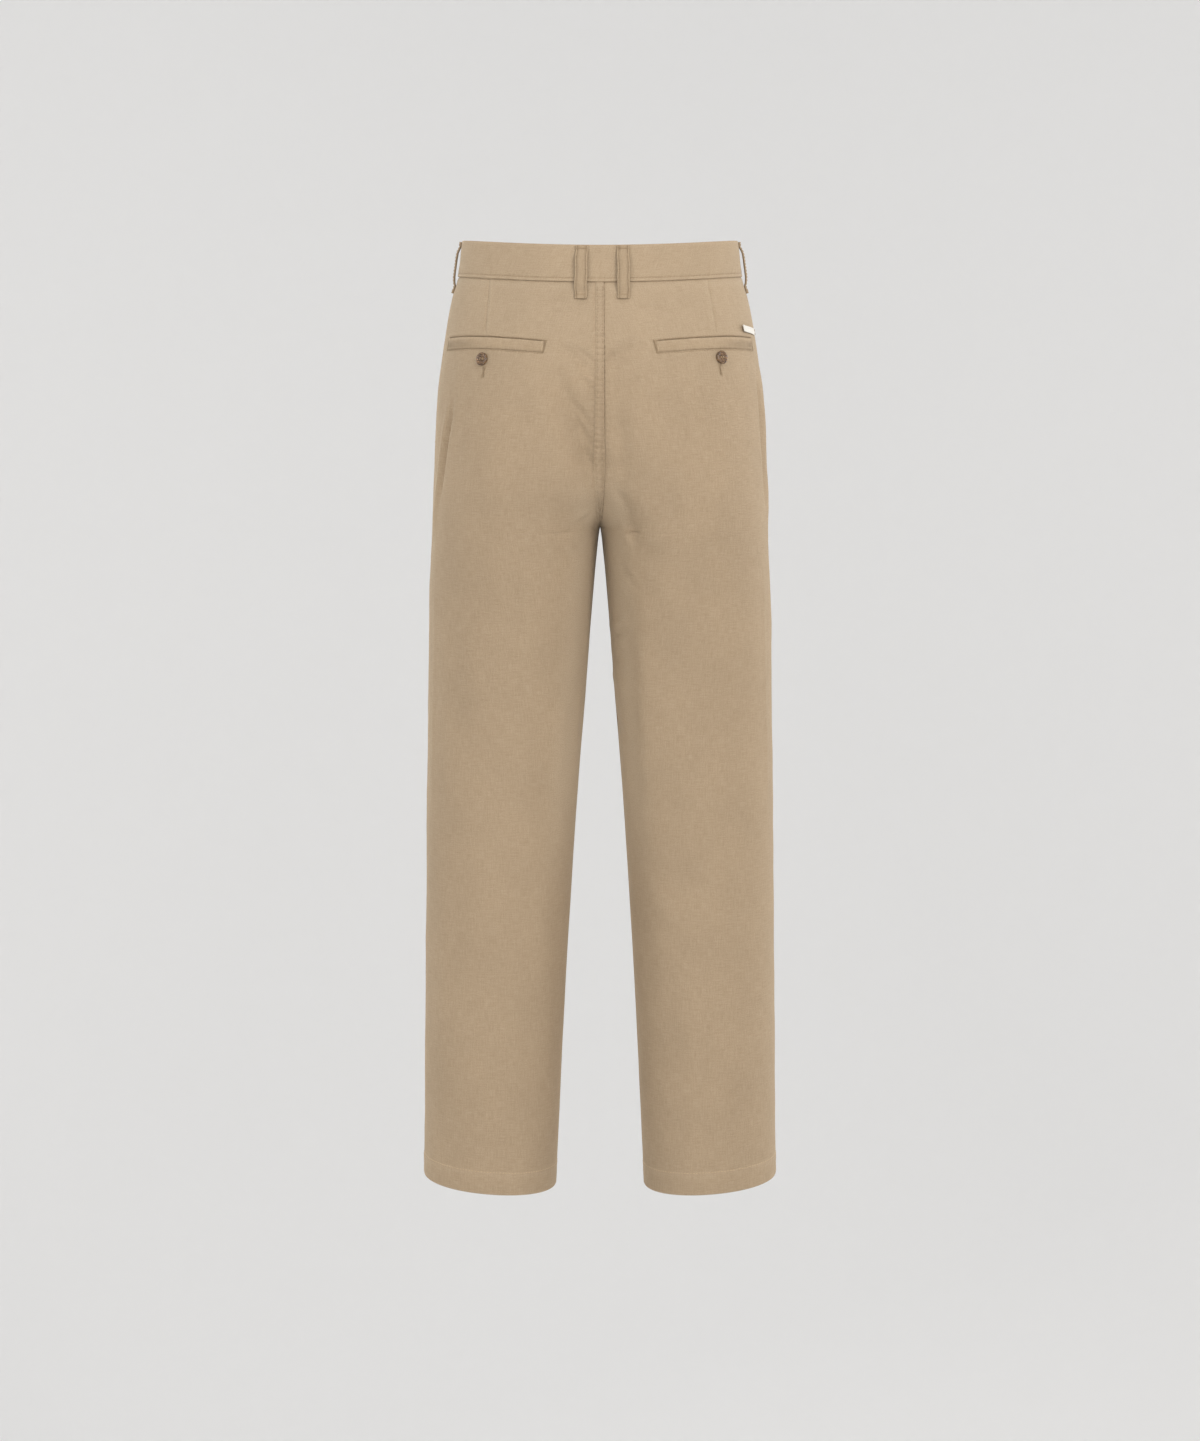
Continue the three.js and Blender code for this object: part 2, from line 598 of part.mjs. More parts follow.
// The label stands a little off the cloth at its free end, towards the centre back.
function addSideLabel() {
  const { lift, standOff, thick, columns } = LABEL_FACE;
  const strip = (extra) => [0, -LABEL.height].map((drop) => (
    Array.from({ length: columns + 1 }, (_, c) => {
      const share = c / columns;
      const z = LABEL.z + LABEL.rise * share + drop;
      const length = LABEL.start + LABEL.length * share;
      const out = lift + standOff * share * share + extra;
      return clothPoint(-1, turnAlong(z, length), z, out).point;
    })));
  addMesh('side_label', wallGeometry(strip(thick), strip(0)), WOVEN_TAB);
}

for (const [side, name] of [[1, 'left'], [-1, 'right']]) {
  addPanels(side, name);
  addPocketBags(side, name);
  addWelt(side, name);
}
BACK_BUTTONS.forEach(addBackButton);
addWaistband();
LOOPS.forEach(addBeltLoop);
addFly();
addWaistButton();
addSideLabel();

export default garment;
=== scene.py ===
"""Chino trousers, filled out as when worn and open at the waist and both hems.

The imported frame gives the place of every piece. This file dresses it: twill panels with their
creases, the felled seat seam, the band with its loops, pockets, fly, buttons, sewing and studio.
Sizes in the tables are millimetres, +Z up, the wearer's front towards -Y and their left at +X.
"""

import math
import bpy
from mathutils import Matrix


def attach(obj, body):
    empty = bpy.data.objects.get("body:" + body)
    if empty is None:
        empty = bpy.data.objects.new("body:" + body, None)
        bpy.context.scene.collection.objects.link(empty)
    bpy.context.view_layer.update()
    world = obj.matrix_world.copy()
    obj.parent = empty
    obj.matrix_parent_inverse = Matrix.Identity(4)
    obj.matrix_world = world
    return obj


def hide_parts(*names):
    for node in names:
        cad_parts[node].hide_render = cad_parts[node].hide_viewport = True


bl_info = {
    "name": "Chino trousers",
    "version": (1, 0, 0),
    "blender": (4, 5, 0),
    "location": "3D View > Sidebar > Chinos",
    "description": "Sews a pair of twill chinos over their packed frame",
    "category": "Object",
}

from collections import namedtuple

import bpy
import numpy as np
from bpy.props import FloatProperty, FloatVectorProperty, PointerProperty
from mathutils import Vector

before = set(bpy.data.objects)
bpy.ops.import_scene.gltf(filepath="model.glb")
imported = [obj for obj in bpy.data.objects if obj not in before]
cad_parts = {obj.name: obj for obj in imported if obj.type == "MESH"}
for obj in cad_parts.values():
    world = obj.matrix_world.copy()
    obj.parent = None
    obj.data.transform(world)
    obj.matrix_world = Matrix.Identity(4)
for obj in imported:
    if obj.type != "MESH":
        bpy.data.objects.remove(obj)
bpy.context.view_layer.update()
MM = 0.001
SIDES = ((1, "left"), (-1, "right"))


def linear(code):
    """An sRGB hex colour as the three linear values that a shader takes."""
    channels = [int(code[i:i + 2], 16) / 255 for i in (0, 2, 4)]
    return tuple(c / 12.92 if c <= 0.04045 else ((c + 0.055) / 1.055) ** 2.4 for c in channels)


# Sizes and colours that a user would change

class ChinoCloth(bpy.types.PropertyGroup):
    """The twill and the pocketing."""

    thickness: FloatProperty(
        name="Cloth thickness", description="One layer of washed twill",
        default=1.4 * MM, min=0.6 * MM, max=3 * MM, unit="LENGTH", precision=4)
    wale: FloatProperty(
        name="Wale spacing", description="Distance between the twill's diagonal ridges, as drawn",
        default=1.5 * MM, min=0.4 * MM, max=4 * MM, unit="LENGTH", precision=4)
    slub: FloatProperty(
        name="Slub", description="How strongly thick and thin yarns show in the colour",
        default=0.15, min=0, max=1, subtype="FACTOR")
    twill: FloatVectorProperty(
        name="Twill", description="Dyed colour of the twill",
        default=linear("a28e75"), size=3, min=0, max=1, subtype="COLOR")
    # Also the colour that painted light pales the cloth towards, as well as worn seams and edges
    twill_light: FloatVectorProperty(
        name="Twill, rubbed", description="Colour along seams and edges, where the dye has rubbed off",
        default=linear("b7a58d"), size=3, min=0, max=1, subtype="COLOR")
    twill_dark: FloatVectorProperty(
        name="Twill, between yarns", description="Colour down between the yarns",
        default=linear("867257"), size=3, min=0, max=1, subtype="COLOR")
    pocketing: FloatVectorProperty(
        name="Pocketing", description="Colour of the cotton of the pocket bags",
        default=linear("d8cfbf"), size=3, min=0, max=1, subtype="COLOR")


class ChinoSewing(bpy.types.PropertyGroup):
    """Thread and stitches."""

    stitch: FloatProperty(
        name="Stitch length", description="Length of one visible stitch",
        default=2.6 * MM, min=1 * MM, max=6 * MM, unit="LENGTH", precision=4)
    gap: FloatProperty(
        name="Stitch gap", description="Gap between two stitches, where the thread dips",
        default=0.9 * MM, min=0.2 * MM, max=3 * MM, unit="LENGTH", precision=4)
    thread: FloatProperty(
        name="Thread", description="Thickness of the sewing thread",
        default=0.6 * MM, min=0.2 * MM, max=1.5 * MM, unit="LENGTH", precision=4)
    thread_colour: FloatVectorProperty(
        name="Thread colour", description="Colour of the topstitching",
        default=linear("9a8467"), size=3, min=0, max=1, subtype="COLOR")


class ChinoTrims(bpy.types.PropertyGroup):
    """Buttons, zip and side label."""

    horn: FloatVectorProperty(
        name="Horn", description="Ground colour of the buttons",
        default=linear("4b3520"), size=3, min=0, max=1, subtype="COLOR")
    horn_streak: FloatVectorProperty(
        name="Horn, streaks", description="Pale streaks of the buttons",
        default=linear("94704a"), size=3, min=0, max=1, subtype="COLOR")
    brass: FloatVectorProperty(
        name="Brass", description="Colour of the zip's metal",
        default=linear("b08d4c"), size=3, min=0, max=1, subtype="COLOR")
    label: FloatVectorProperty(
        name="Side label", description="Colour of the plain woven tab",
        default=linear("dcd8cf"), size=3, min=0, max=1, subtype="COLOR")
    backdrop: FloatVectorProperty(
        name="Studio", description="Colour of the floor and backdrop",
        default=linear("f0f0f0"), size=3, min=0, max=1, subtype="COLOR")


# The garment's form

SEAM_GAP = 0.3
BAND_HEIGHT = 39.5
# Pocket bags, fly and rows of stitches start a little below the band
BELOW_BAND = -44
BAND_PROUD = 1
BAND_THICK = 2.6
HEM_DEPTH = 26
HEM_THICK = 2.9
FORK = -315.5
SEAT = -231
HEM = -1071
SIDE_SEAM = -2

# Half the garment by height: level, outer, inner, front and back edge, and the oval's power.
# This is the solids' own table, but the back edge of the four rows from -298 to -400 lies up
# to 4 mm further out, so that the seat runs into the thighs without a shelf.
SECTIONS = np.array([
    (0, 152, -152, -108, 108, 2.15),
    (-41, 157.6, -157.6, -113, 114, 2.15),
    (-65, 164.5, -160, -116, 119, 2.18),
    (-115, 173.5, -154, -120, 131, 2.2),
    (-175, 181, -126, -122, 141, 2.22),
    (SEAT, 183.8, -82, -121, 144, 2.22),
    (-270, 185.6, -42, -119, 141, 2.22),
    (-298, 186.9, -14, -115.5, 134.5, 2.2),
    (FORK, 187.5, 0.15, -112.5, 130.5, 2.2),
    (-345, 189, 3.8, -107.5, 123, 2.18),
    (-400, 191.9, 8.9, -99.5, 109.5, 2.15),
    (-514, 194.2, 17.4, -87.5, 90, 2.12),
    (-629, 196.8, 26.6, -79.5, 78, 2.1),
    (-745, 198.3, 34.2, -75, 71, 2.1),
    (-862, 200.4, 40.9, -73, 70, 2.1),
    (-980, 201.9, 46.7, -72, 70, 2.1),
    (HEM, 203.3, 51.2, -72, 71, 2.1),
])
# The waist dips towards the centre, full above the upper level and gone below the lower one.
# The hems slant, from the level where that sets in.
WAIST_DIP_BACK = 7
WAIST_DIP_FRONT = 12
DIP_LEVELS = (-165, -45)
HEM_SLANT = 13
SLANT_FROM = -900


def smooth(low, high, value):
    """0 below low, 1 above high and a soft rise between."""
    t = np.clip((value - low) / (high - low), 0, 1)
    return t * t * (3 - 2 * t)


def columns_at(levels):
    """The section table read at levels, on a curve that never overshoots its rows."""
    z = SECTIONS[:, :1]
    values = SECTIONS[:, 1:]
    gaps = z[:-1] - z[1:]
    steps = (values[:-1] - values[1:]) / gaps
    near = 2 * gaps[1:] + gaps[:-1]
    far = gaps[1:] + 2 * gaps[:-1]
    turning = steps[:-1] * steps[1:] <= 0
    safe = [np.where(s == 0, 1, s) for s in (steps[:-1], steps[1:])]
    inner = np.where(turning, 0, (near + far) / (near / safe[0] + far / safe[1]))
    slopes = np.vstack([steps[:1], inner, steps[-1:]])
    high = np.clip(np.searchsorted(-z[:, 0], -levels, side="right") - 1, 0, len(z) - 2)
    span = gaps[high]
    t = (levels[:, None] - z[high + 1]) / span
    return (values[high + 1] * (1 + 2 * t) * (1 - t) ** 2
            + slopes[high + 1] * span * t * (1 - t) ** 2
            + values[high] * t * t * (3 - 2 * t)
            + slopes[high] * span * t * t * (t - 1))


class Form:
    """The outer face of one half, tabled by level and by share of the length from the side."""

    def __init__(self):
        levels = np.concatenate([np.arange(4, -300, -1.0), np.arange(-300, -316, -0.1),
                                 np.arange(-316, HEM - 4, -1.0)])
        outer, inner, front, back, square = (c[:, None] for c in columns_at(levels).T)
        middle = (outer + inner) / 2
        width = (outer - inner) / 2
        depth = (back - front) / 2
        meets = np.clip((SEAM_GAP / 2 - middle) / width, -1, 1)
        end = np.arccos(np.sign(meets) * np.abs(meets) ** (square / 2))
        turns = end * np.linspace(0, 1, 601)
        cos, sin = np.cos(turns), np.sin(turns)
        x = middle + width * np.sign(cos) * np.abs(cos) ** (2 / square)
        y = depth * np.abs(sin) ** (2 / square)
        run = np.hypot(np.diff(x), np.diff(y)).cumsum(axis=1)
        run = np.hstack([np.zeros((len(levels), 1)), run])
        self.levels = levels
        self.half = run[:, -1]
        self.outer = outer[:, 0]
        self.middle = middle[:, 0]
        self.width = width[:, 0]
        self.centre = ((back + front) / 2)[:, 0]
        self.shares = np.linspace(0, 1, 301)
        goals = self.shares * self.half[:, None]
        self.x = np.array([np.interp(g, r, v) for g, r, v in zip(goals, run, x)])
        self.y = np.array([np.interp(g, r, v) for g, r, v in zip(goals, run, y)])
        self.normals = {sign: self.normals_of(sign) for sign in (1, -1)}

    def normals_of(self, sign):
        """Outward normals of the back, sign 1, or the front, sign -1."""
        x, y = self.x, self.centre[:, None] + sign * self.y
        along = np.stack([np.gradient(x, axis=1), np.gradient(y, axis=1), 0 * x], axis=-1)
        up = np.stack([np.gradient(x, self.levels, axis=0),
                       np.gradient(y, self.levels, axis=0), 0 * x + 1], axis=-1)
        normals = np.cross(along, up) * sign
        normals /= np.linalg.norm(normals, axis=-1, keepdims=True)
        return normals

    def row(self, level):
        """The place of a level among the table's rows."""
        return np.interp(-level, -self.levels, np.arange(len(self.levels)))

    def read(self, table, level):
        """A column of the table at levels."""
        return np.interp(-level, -self.levels, table)

    def half_at(self, level):
        """The length of the cloth from the side to the centre at levels."""
        return self.read(self.half, level)

    def inseam_at(self, level):
        """How far the section's inner edge lies from the centre plane at levels."""
        return 2 * self.read(self.middle, level) - self.read(self.outer, level)

    def look_up(self, table, row, share):
        """The table between its rows and columns."""
        column = np.clip(share, 0, 1) * (len(self.shares) - 1)
        r = np.minimum(row.astype(int), len(self.levels) - 2)
        c = np.minimum(column.astype(int), len(self.shares) - 2)
        fr, fc = row - r, column - c
        if table.ndim == 3:
            fr, fc = fr[..., None], fc[..., None]
        upper = table[r, c] * (1 - fc) + table[r, c + 1] * fc
        lower = table[r + 1, c] * (1 - fc) + table[r + 1, c + 1] * fc
        return upper * (1 - fr) + lower * fr

    def place(self, side, level, length):
        """Points and normals at levels and lengths from the side, positive to the back."""
        level, length = np.broadcast_arrays(np.asarray(level, float), np.asarray(length, float))
        share = np.abs(length) / self.read(self.half, level)
        past = share > 1
        share = np.where(past, 2 - share, share)
        row = self.row(level)
        back = length >= 0
        x = self.look_up(self.x, row, share)
        y = self.look_up(self.y, row, share) * np.where(back, 1, -1)
        normal = np.where(back[..., None], self.look_up(self.normals[1], row, share),
                          self.look_up(self.normals[-1], row, share))
        normal /= np.linalg.norm(normal, axis=-1, keepdims=True)
        across = x / self.read(self.outer, level)
        dip = np.where(back, WAIST_DIP_BACK, WAIST_DIP_FRONT) * (1 - np.minimum(1, across ** 2))
        lean = (x - self.read(self.middle, level)) / (2 * self.read(self.width, level))
        z = (level - dip * smooth(*DIP_LEVELS, level)
             + HEM_SLANT * lean * (1 - smooth(HEM, SLANT_FROM, level)))
        turned = np.where(past, -1, 1) * side
        point = np.stack([x * turned, y + self.read(self.centre, level), z], axis=-1)
        normal = normal * np.stack([turned, np.ones_like(x), np.ones_like(x)], axis=-1)
        return point, normal, x * np.where(past, -1, 1)

    def length_at(self, level, across):
        """The length from the side at which the back or front is so far from the centre plane."""
        row = int(round(float(self.row(np.asarray(level, float)))))
        return float(np.interp(-across, -self.x[row], self.shares)) * float(self.half[row])


FORM = Form()

# Creases

# panel, side, place and level of both ends, how far the middle bows outwards from the centre
# plane, half width, and lift. A negative lift is a trough. side 1 is the wearer's left.
Fold = namedtuple("Fold", "panel side across level across_end level_end bow width lift")
FOLDS = [Fold(*row) for row in (
    # The long hollow from each welt down to the seat seam, deeper on the left
    ("back", 1, 0, -140, 0, -272, 0, 30, -3.2),
    ("back", -1, 0, -140, 0, -272, 0, 30, -3.2),
    ("back", 1, 54, -134, 8, -276, -4, 15, -5.2),
    ("back", 1, 48, -138, 5, -266, -4, 6, -2),
    ("back", 1, 74, -150, 32, -272, -5, 14, 2),
    # Folds drawn from both welts towards the seam
    ("back", 1, 50, -110, 4, -142, -2, 9, -3.2),
    ("back", 1, 36, -124, 6, -158, -2, 5, 1.4),
    ("back", -1, 52, -106, 8, -140, -3, 9, -3.6),
    ("back", -1, 34, -98, 8, -122, -3, 6, 1.6),
    ("back", -1, 44, -148, 14, -170, -2, 7, -2),
    ("back", -1, 84, -124, 80, -196, 4, 17, -3.4),
    ("back", -1, 56, -180, 50, -276, 3, 18, 3),
    ("back", -1, 18, -176, 22, -272, 3, 9, -3),
    # Short strokes where the seam has drawn the cloth in
    ("back", 1, 27, -112, 6, -131, -1, 3, -1.6),
    ("back", 1, 25, -130, 5, -150, -1, 3, -1.4),
    ("back", 1, 20, -146, 5, -166, -1, 3, -1.6),
    ("back", 1, 27, -176, 7, -204, -1, 3.4, -1.9),
    ("back", 1, 24, -194, 6, -226, -1, 3.4, -1.9),
    ("back", 1, 18, -222, 5, -248, -1, 3, -1.6),
    ("back", 1, 15, -250, 4, -276, 0, 3, -1.4),
    ("back", -1, 20, -118, 6, -133, -1, 3, -1.1),
    ("back", -1, 22, -196, 7, -214, -1, 3.4, -1.2),
    ("back", -1, 24, -236, 8, -256, -1, 3.4, -1.4),
    # Drags from the feet of the back loops
    ("back", -1, 30, -65, 86, -76, 2, 5, -1.8),
    ("back", -1, 30, -76, 70, -88, 2, 5, 1.1),
    ("back", 1, 28, -60, 62, -64, 2, 4, -1.6),
    ("back", 1, 26, -70, 56, -77, 2, 4.5, -1.4),
    ("back", 1, 34, -84, 78, -82, -2, 6, 1.1),
    ("back", 1, 15, -104, 11, -262, 2, 13, -2),
    ("back", -1, 14, -104, 12, -150, 0, 11, -1.4),
    # Round the fork, where the seat runs into the thighs
    ("back", 1, 24, -321, 84, -321, 0, 18, 2.4),
    ("back", -1, 24, -321, 84, -321, 0, 18, 2.4),
    ("back", 1, 16, -319, 40, -322, 0, 13, 2.8),
    ("back", -1, 16, -319, 40, -322, 0, 13, 2.4),
    ("back", -1, 12, -262, 40, -326, 4, 6, -3),
    ("back", -1, 24, -296, 42, -336, 2, 3.6, -1.4),
    ("back", -1, 44, -270, 62, -340, 4, 10, 1.6),
    ("back", 1, 27, -309, 9, -298, 1, 3, -0.9),
    ("back", 1, 24, -302, 8, -290, 1, 3, 0.7),
    # The inner thighs hang in a long soft fold beside the inseam
    ("back", -1, 24, -340, 36, -620, 4, 11, -1.7),
    ("back", -1, 46, -390, 54, -640, 0, 10, 1.7),
    ("back", -1, 12, -428, 30, -404, 2, 3, 1.4),
    ("back", -1, 12, -442, 28, -424, 1, 3, -1.7),
    ("back", -1, 14, -468, 25, -452, 1, 3, -1.6),
    ("back", -1, 15, -480, 27, -500, 0, 4, 1.2),
    ("back", -1, 17, -522, 30, -560, -2, 4, -1.4),
    ("back", -1, 22, -352, 44, -388, 2, 3.5, -1.3),
    ("back", -1, 20, -372, 38, -412, 2, 3.5, 1),
    ("back", 1, 22, -470, 34, -540, -2, 5, -1.1),
    ("back", 1, 26, -400, 30, -600, 3, 10, -0.6),
    # Slow folds down the seat and the sides
    ("back", -1, 100, -190, 104, -420, 5, 18, -1.6),
    ("back", 1, 110, -200, 96, -420, 5, 20, 1.6),
    ("back", 1, 160, -170, 179, -290, 1, 2.2, -5),
    ("back", 1, 167, -180, 185, -330, 1, 1.8, 2.5),
    ("back", -1, 173, -132, 184, -290, 1, 1.8, -5),
    ("back", -1, 178, -140, 187, -330, 1, 1.4, 2.5),
    ("back", -1, 180, -330, 189, -640, 0, 1.8, 0.9),
    ("back", 1, 181, -330, 190, -640, 0, 1.8, 0.7),
    ("back", 1, 120, -620, 96, -860, 6, 20, 1.6),
    ("back", -1, 118, -560, 128, -840, 6, 20, 1.4),
    ("back", 1, 60, -780, 84, -980, 4, 16, -1.6),
    ("back", -1, 70, -840, 92, -1010, 4, 16, -1.6),
    # The front, creased across the lap as a worn pair is
    ("front", 1, 78, -262, 18, -284, -4, 10, -2),
    ("front", -1, 74, -256, 16, -280, -4, 10, -2),
    ("front", 1, 76, -256, 16, -282, -4, 5, -1.1),
    ("front", 1, 70, -268, 14, -290, -4, 4, 1.1),
    ("front", -1, 72, -250, 15, -278, -4, 5, -1.1),
    ("front", -1, 66, -262, 14, -286, -4, 4, 1.1),
    ("front", 1, 108, -238, 44, -262, 3, 7, -1.1),
    ("front", -1, 110, -244, 42, -268, 3, 7, -1.1),
    ("front", 1, 92, -228, 34, -250, 0, 10, 1.2),
    ("front", -1, 88, -292, 30, -300, 0, 12, 1.2),
    ("front", 1, 34, -330, 10, -306, 2, 5, -1.1),
    ("front", -1, 36, -326, 10, -304, 2, 5, -1.1),
    ("front", 1, 30, -345, 36, -560, 3, 13, -2.2),
    ("front", -1, 30, -345, 38, -580, 3, 13, -2.4),
    ("front", 1, 112, -640, 92, -800, 6, 20, 1),
    ("front", -1, 116, -600, 100, -790, 6, 20, 1),
    ("front", 1, 70, -600, 130, -632, 6, 12, -0.9),
    ("front", -1, 66, -612, 126, -640, 6, 12, -0.9),
)]

# The back of each thigh is fuller than the plain form, some 25 mm out from the inseam. For each
# side: lift, place outwards of the inseam and half width
THIGHS = {1: (2.6, 24, 16), -1: (1.8, 28, 16)}
# The levels where that starts, is full, is still full and ends
THIGH_LEVELS = (-980, -700, -370, -290)

# Painted shade, not a shape: the cloth beside the seat seam is painted slightly darker, for the shade
# in the seat's hollow. Its outer edge runs from "top" to "bottom" off the centre plane between the
# levels
# "from" and "to".
SEAT_HOLLOW_SHADE = {1: {"top": 58, "bottom": 10, "from": -134, "to": -280, "dark": 0.09},
               -1: {"top": 44, "bottom": 22, "from": -120, "to": -262, "dark": 0.06}}

# Painted light, not a shape: how much paler the inner thighs are painted on each side
INNER_THIGH_LIGHT = {1: 1.3, -1: 1.15}

# Darts of the back, from the band to the pocket. For each side: place and level of both ends
DARTS = {1: (120.5, -41, 124.8, -101), -1: (117.2, -41, 127, -98)}
DART_GROOVE = 0.9
DART_RIDGE = 0.45

# Felled seat seam: the left back laps over the right one
FELL = 4
FELL_LIFT = 0.7
FELL_UNDER = -1.15
PUCKER_PITCH = 7
PUCKER_LIFT = 0.5

# Fly: the left front laps over the right one, down to the bartack
FLY_LAP = 3
FLY_BOTTOM = -206
FLY_STITCH = 36
FLY_CURVE = 34

# Front pockets: a slanted mouth from the band to the side seam
MOUTH_WIDTH = 42
MOUTH_BOTTOM = -236
FACING_UNDER = 14
FACING_BOTTOM = -252
FRONT_BAG = {"top": BELOW_BAND, "bottom": -318, "reach": 132, "inset": 6, "depth": 4.4}
FRONT_BAG_TAPER = {"width": 34, "from": -230}
BACK_BAG = {"top": BELOW_BAND, "bottom": -292, "start": 46, "length": 168, "depth": 2.4}
BAG_THICK = 0.8
BAG_HANG = {"clear": 6, "over": 70}

# Back pockets: one welt each
WELT = {"start": 61, "length": 138, "top": -106.7, "height": 13, "arch": 3}
OPENING_DEPTH = 2.3
# For each side: place across, top and bottom
BUTTONHOLES = {1: (126, -136.5, -149), -1: (130.4, -133, -146)}

LABEL = {"start": 20, "length": 42, "level": -96.8, "rise": 5, "height": 7.4}
WAVES = 7
# seed, lift, shortest and longest wave
WAVE_SETS = ((5, 0.32, 34, 95), (15, 0.12, 14, 30))


def slow_waves(level, length, seed, lift, shortest, longest):
    """A fixed sum of long waves, so that no stretch of cloth is quite plain."""
    rng = np.random.default_rng(seed)
    total = 0 * level
    for _ in range(WAVES):
        size = rng.uniform(shortest, longest)
        turn = rng.uniform(0, math.pi)
        phase = rng.uniform(0, 2 * math.pi)
        run = (math.cos(turn) * length + 0.6 * math.sin(turn) * level) / size
        total = total + np.sin(2 * math.pi * run + phase)
    return lift * total / math.sqrt(WAVES)


def fold_lift(fold, across, level):
    """The lift of one fold at points of its panel."""
    steps = np.linspace(0, 1, 25)
    x = fold.across + (fold.across_end - fold.across) * steps
    x = x + 4 * fold.bow * steps * (1 - steps)
    z = fold.level + (fold.level_end - fold.level) * steps
    reach = 3.2 * fold.width
    near = ((across > x.min() - reach) & (across < x.max() + reach)
            & (level > z.min() - reach) & (level < z.max() + reach))
    total = np.zeros_like(level)
    if not near.any():
        return total
    px, pz = across[near][:, None], level[near][:, None]
    run_x, run_z = np.diff(x), np.diff(z)
    part = np.clip(((px - x[:-1]) * run_x + (pz - z[:-1]) * run_z)
                   / (run_x ** 2 + run_z ** 2), 0, 1)
    away = np.hypot(px - x[:-1] - part * run_x, pz - z[:-1] - part * run_z)
    nearest = away.argmin(axis=1)
    rows = np.arange(len(nearest))
    place = (nearest + part[rows, nearest]) / (len(steps) - 1)
    fade = smooth(-0.12, 0.3, place) * (1 - smooth(0.7, 1.12, place))
    total[near] = fold.lift * fade * np.exp(-(away[rows, nearest] / fold.width) ** 2)
    return total


def groove(distance, width, lift):
    """A narrow groove or ridge at a distance of nought."""
    return lift * np.exp(-(distance / width) ** 2)


def mouth_width(level):
    """How far the pocket's mouth lies forward of the side seam."""
    share = (level - MOUTH_BOTTOM) / (-BAND_HEIGHT - MOUTH_BOTTOM)
    return MOUTH_WIDTH * np.clip(share, 0, 1)


def welt_line(share):
    """The level of a welt's top edge at a share of its length."""
    return WELT["top"] + WELT["arch"] * np.sin(math.pi * np.clip(share, 0, 1))


def dart_place(side, level, across):
    """The share of the way down a dart, the distance from its line and the level of its foot."""
    x, z, x_end, z_end = DARTS[side]
    share = (level - z) / (z_end - z)
    return share, across - x - (x_end - x) * share, z_end


def fell_reach(level):
    """How far the left back laps over, fading out just above the fork."""
    return FELL * smooth(FORK + 1, FORK + 16, level)


def fly_reach(level):
    """How far the left front laps over the right one."""
    return FLY_LAP * smooth(FLY_BOTTOM - 6, FLY_BOTTOM + 6, level)


def creases(side, level, length, across):
    """How far the cloth's face is lifted off the plain form."""
    level, length = np.broadcast_arrays(np.asarray(level, float), np.asarray(length, float))
    across = np.broadcast_to(across, level.shape)
    back = length > SIDE_SEAM
    lift = np.zeros(level.shape)
    for fold in FOLDS:
        if fold.side == side:
            here = back if fold.panel == "back" else ~back
            lift = lift + np.where(here, fold_lift(fold, across, level), 0)
    centre = FORM.half_at(level) - np.abs(length)
    calm = smooth(-40, -70, level) * smooth(HEM, HEM + 40, level) * smooth(0, 14, centre)
    calm = calm * smooth(0, 10, np.abs(length - SIDE_SEAM))
    for seed, height, shortest, longest in WAVE_SETS:
        lift = lift + calm * slow_waves(level, length, seed + side, height, shortest, longest)
    share, away, foot = dart_place(side, level, across)
    here = np.where(back, smooth(-0.1, 0.05, share) * (1 - smooth(0.85, 1.05, share)), 0)
    lift = lift + here * (groove(away, 1.3, -DART_GROOVE) + groove(away + 2.6, 2, DART_RIDGE))
    gather = np.sin(2 * math.pi * away / 3.6) * np.exp(-(away / 7) ** 2)
    lift = lift + np.where(back, 0.3 * gather * groove(level - foot, 5, 1), 0)
    low, full, still_full, high = THIGH_LEVELS
    thigh = smooth(low, full, level) * smooth(high, still_full, level)
    inseam = FORM.inseam_at(level)
    full_lift, out, width = THIGHS[side]
    lift = lift + np.where(back, thigh * groove(across - inseam - out, width, full_lift), 0)
    lift = lift + np.where(back, seat_seam(side, level, centre), fly_front(side, level, centre))
    lift = lift + side_seam(level, length, back)
    lift = lift + np.where(back, welt_bed(level, centre), 0)
    return lift + hem_relief(level, length)


def inseam_relief(centre):
    """The groove of a pressed-open inseam, and the cloth swelling beside it."""
    return groove(centre, 1.8, -0.9) + groove(centre - 4, 2.2, 0.25)


def seat_seam(side, level, centre):
    """The felled seam of the seat, and the plain inseam below the fork."""
    upper = smooth(FORK + 1, FORK + 16, level)
    phase = 1.4 * np.sin(level / 31) + side
    pucker = PUCKER_LIFT * np.sin(2 * math.pi * level / PUCKER_PITCH + phase)
    pucker = pucker * np.exp(-((np.abs(centre) - 2.6) / 2.4) ** 2)
    if side > 0:
        lap = FELL_LIFT * (1 - smooth(FELL - 0.3, FELL + 0.9, centre))
        edge = groove(centre - FELL - 1.2, 1.1, -0.45)
    else:
        lap = FELL_UNDER * (1 - smooth(FELL - 0.2, FELL + 1.4, centre))
        edge = groove(centre - FELL - 1.6, 1.4, -0.35)
    return upper * (lap + edge + pucker) + (1 - upper) * inseam_relief(centre)


def fly_front(side, level, centre):
    """The lap of the fly, the seam below it and the inseam."""
    lapped = smooth(FLY_BOTTOM - 6, FLY_BOTTOM + 6, level)
    upper = smooth(FORK + 1, FORK + 12, level)
    if side > 0:
        lap = 0.9 * (1 - smooth(2, 9, centre))
        row = groove(centre - FLY_STITCH, 1.2, -0.3)
    else:
        lap = -1.5 * (1 - smooth(3.5, 9, centre))
        row = 0
    seam = groove(centre, 1.5, -0.45) + groove(centre - 3.5, 2, 0.35)
    pucker = 0.16 * np.sin(2 * math.pi * level / PUCKER_PITCH) * groove(centre - 4, 3, 1)
    joined = upper * (seam + pucker) + (1 - upper) * inseam_relief(centre)
    return lapped * (lap + row) + (1 - lapped) * joined


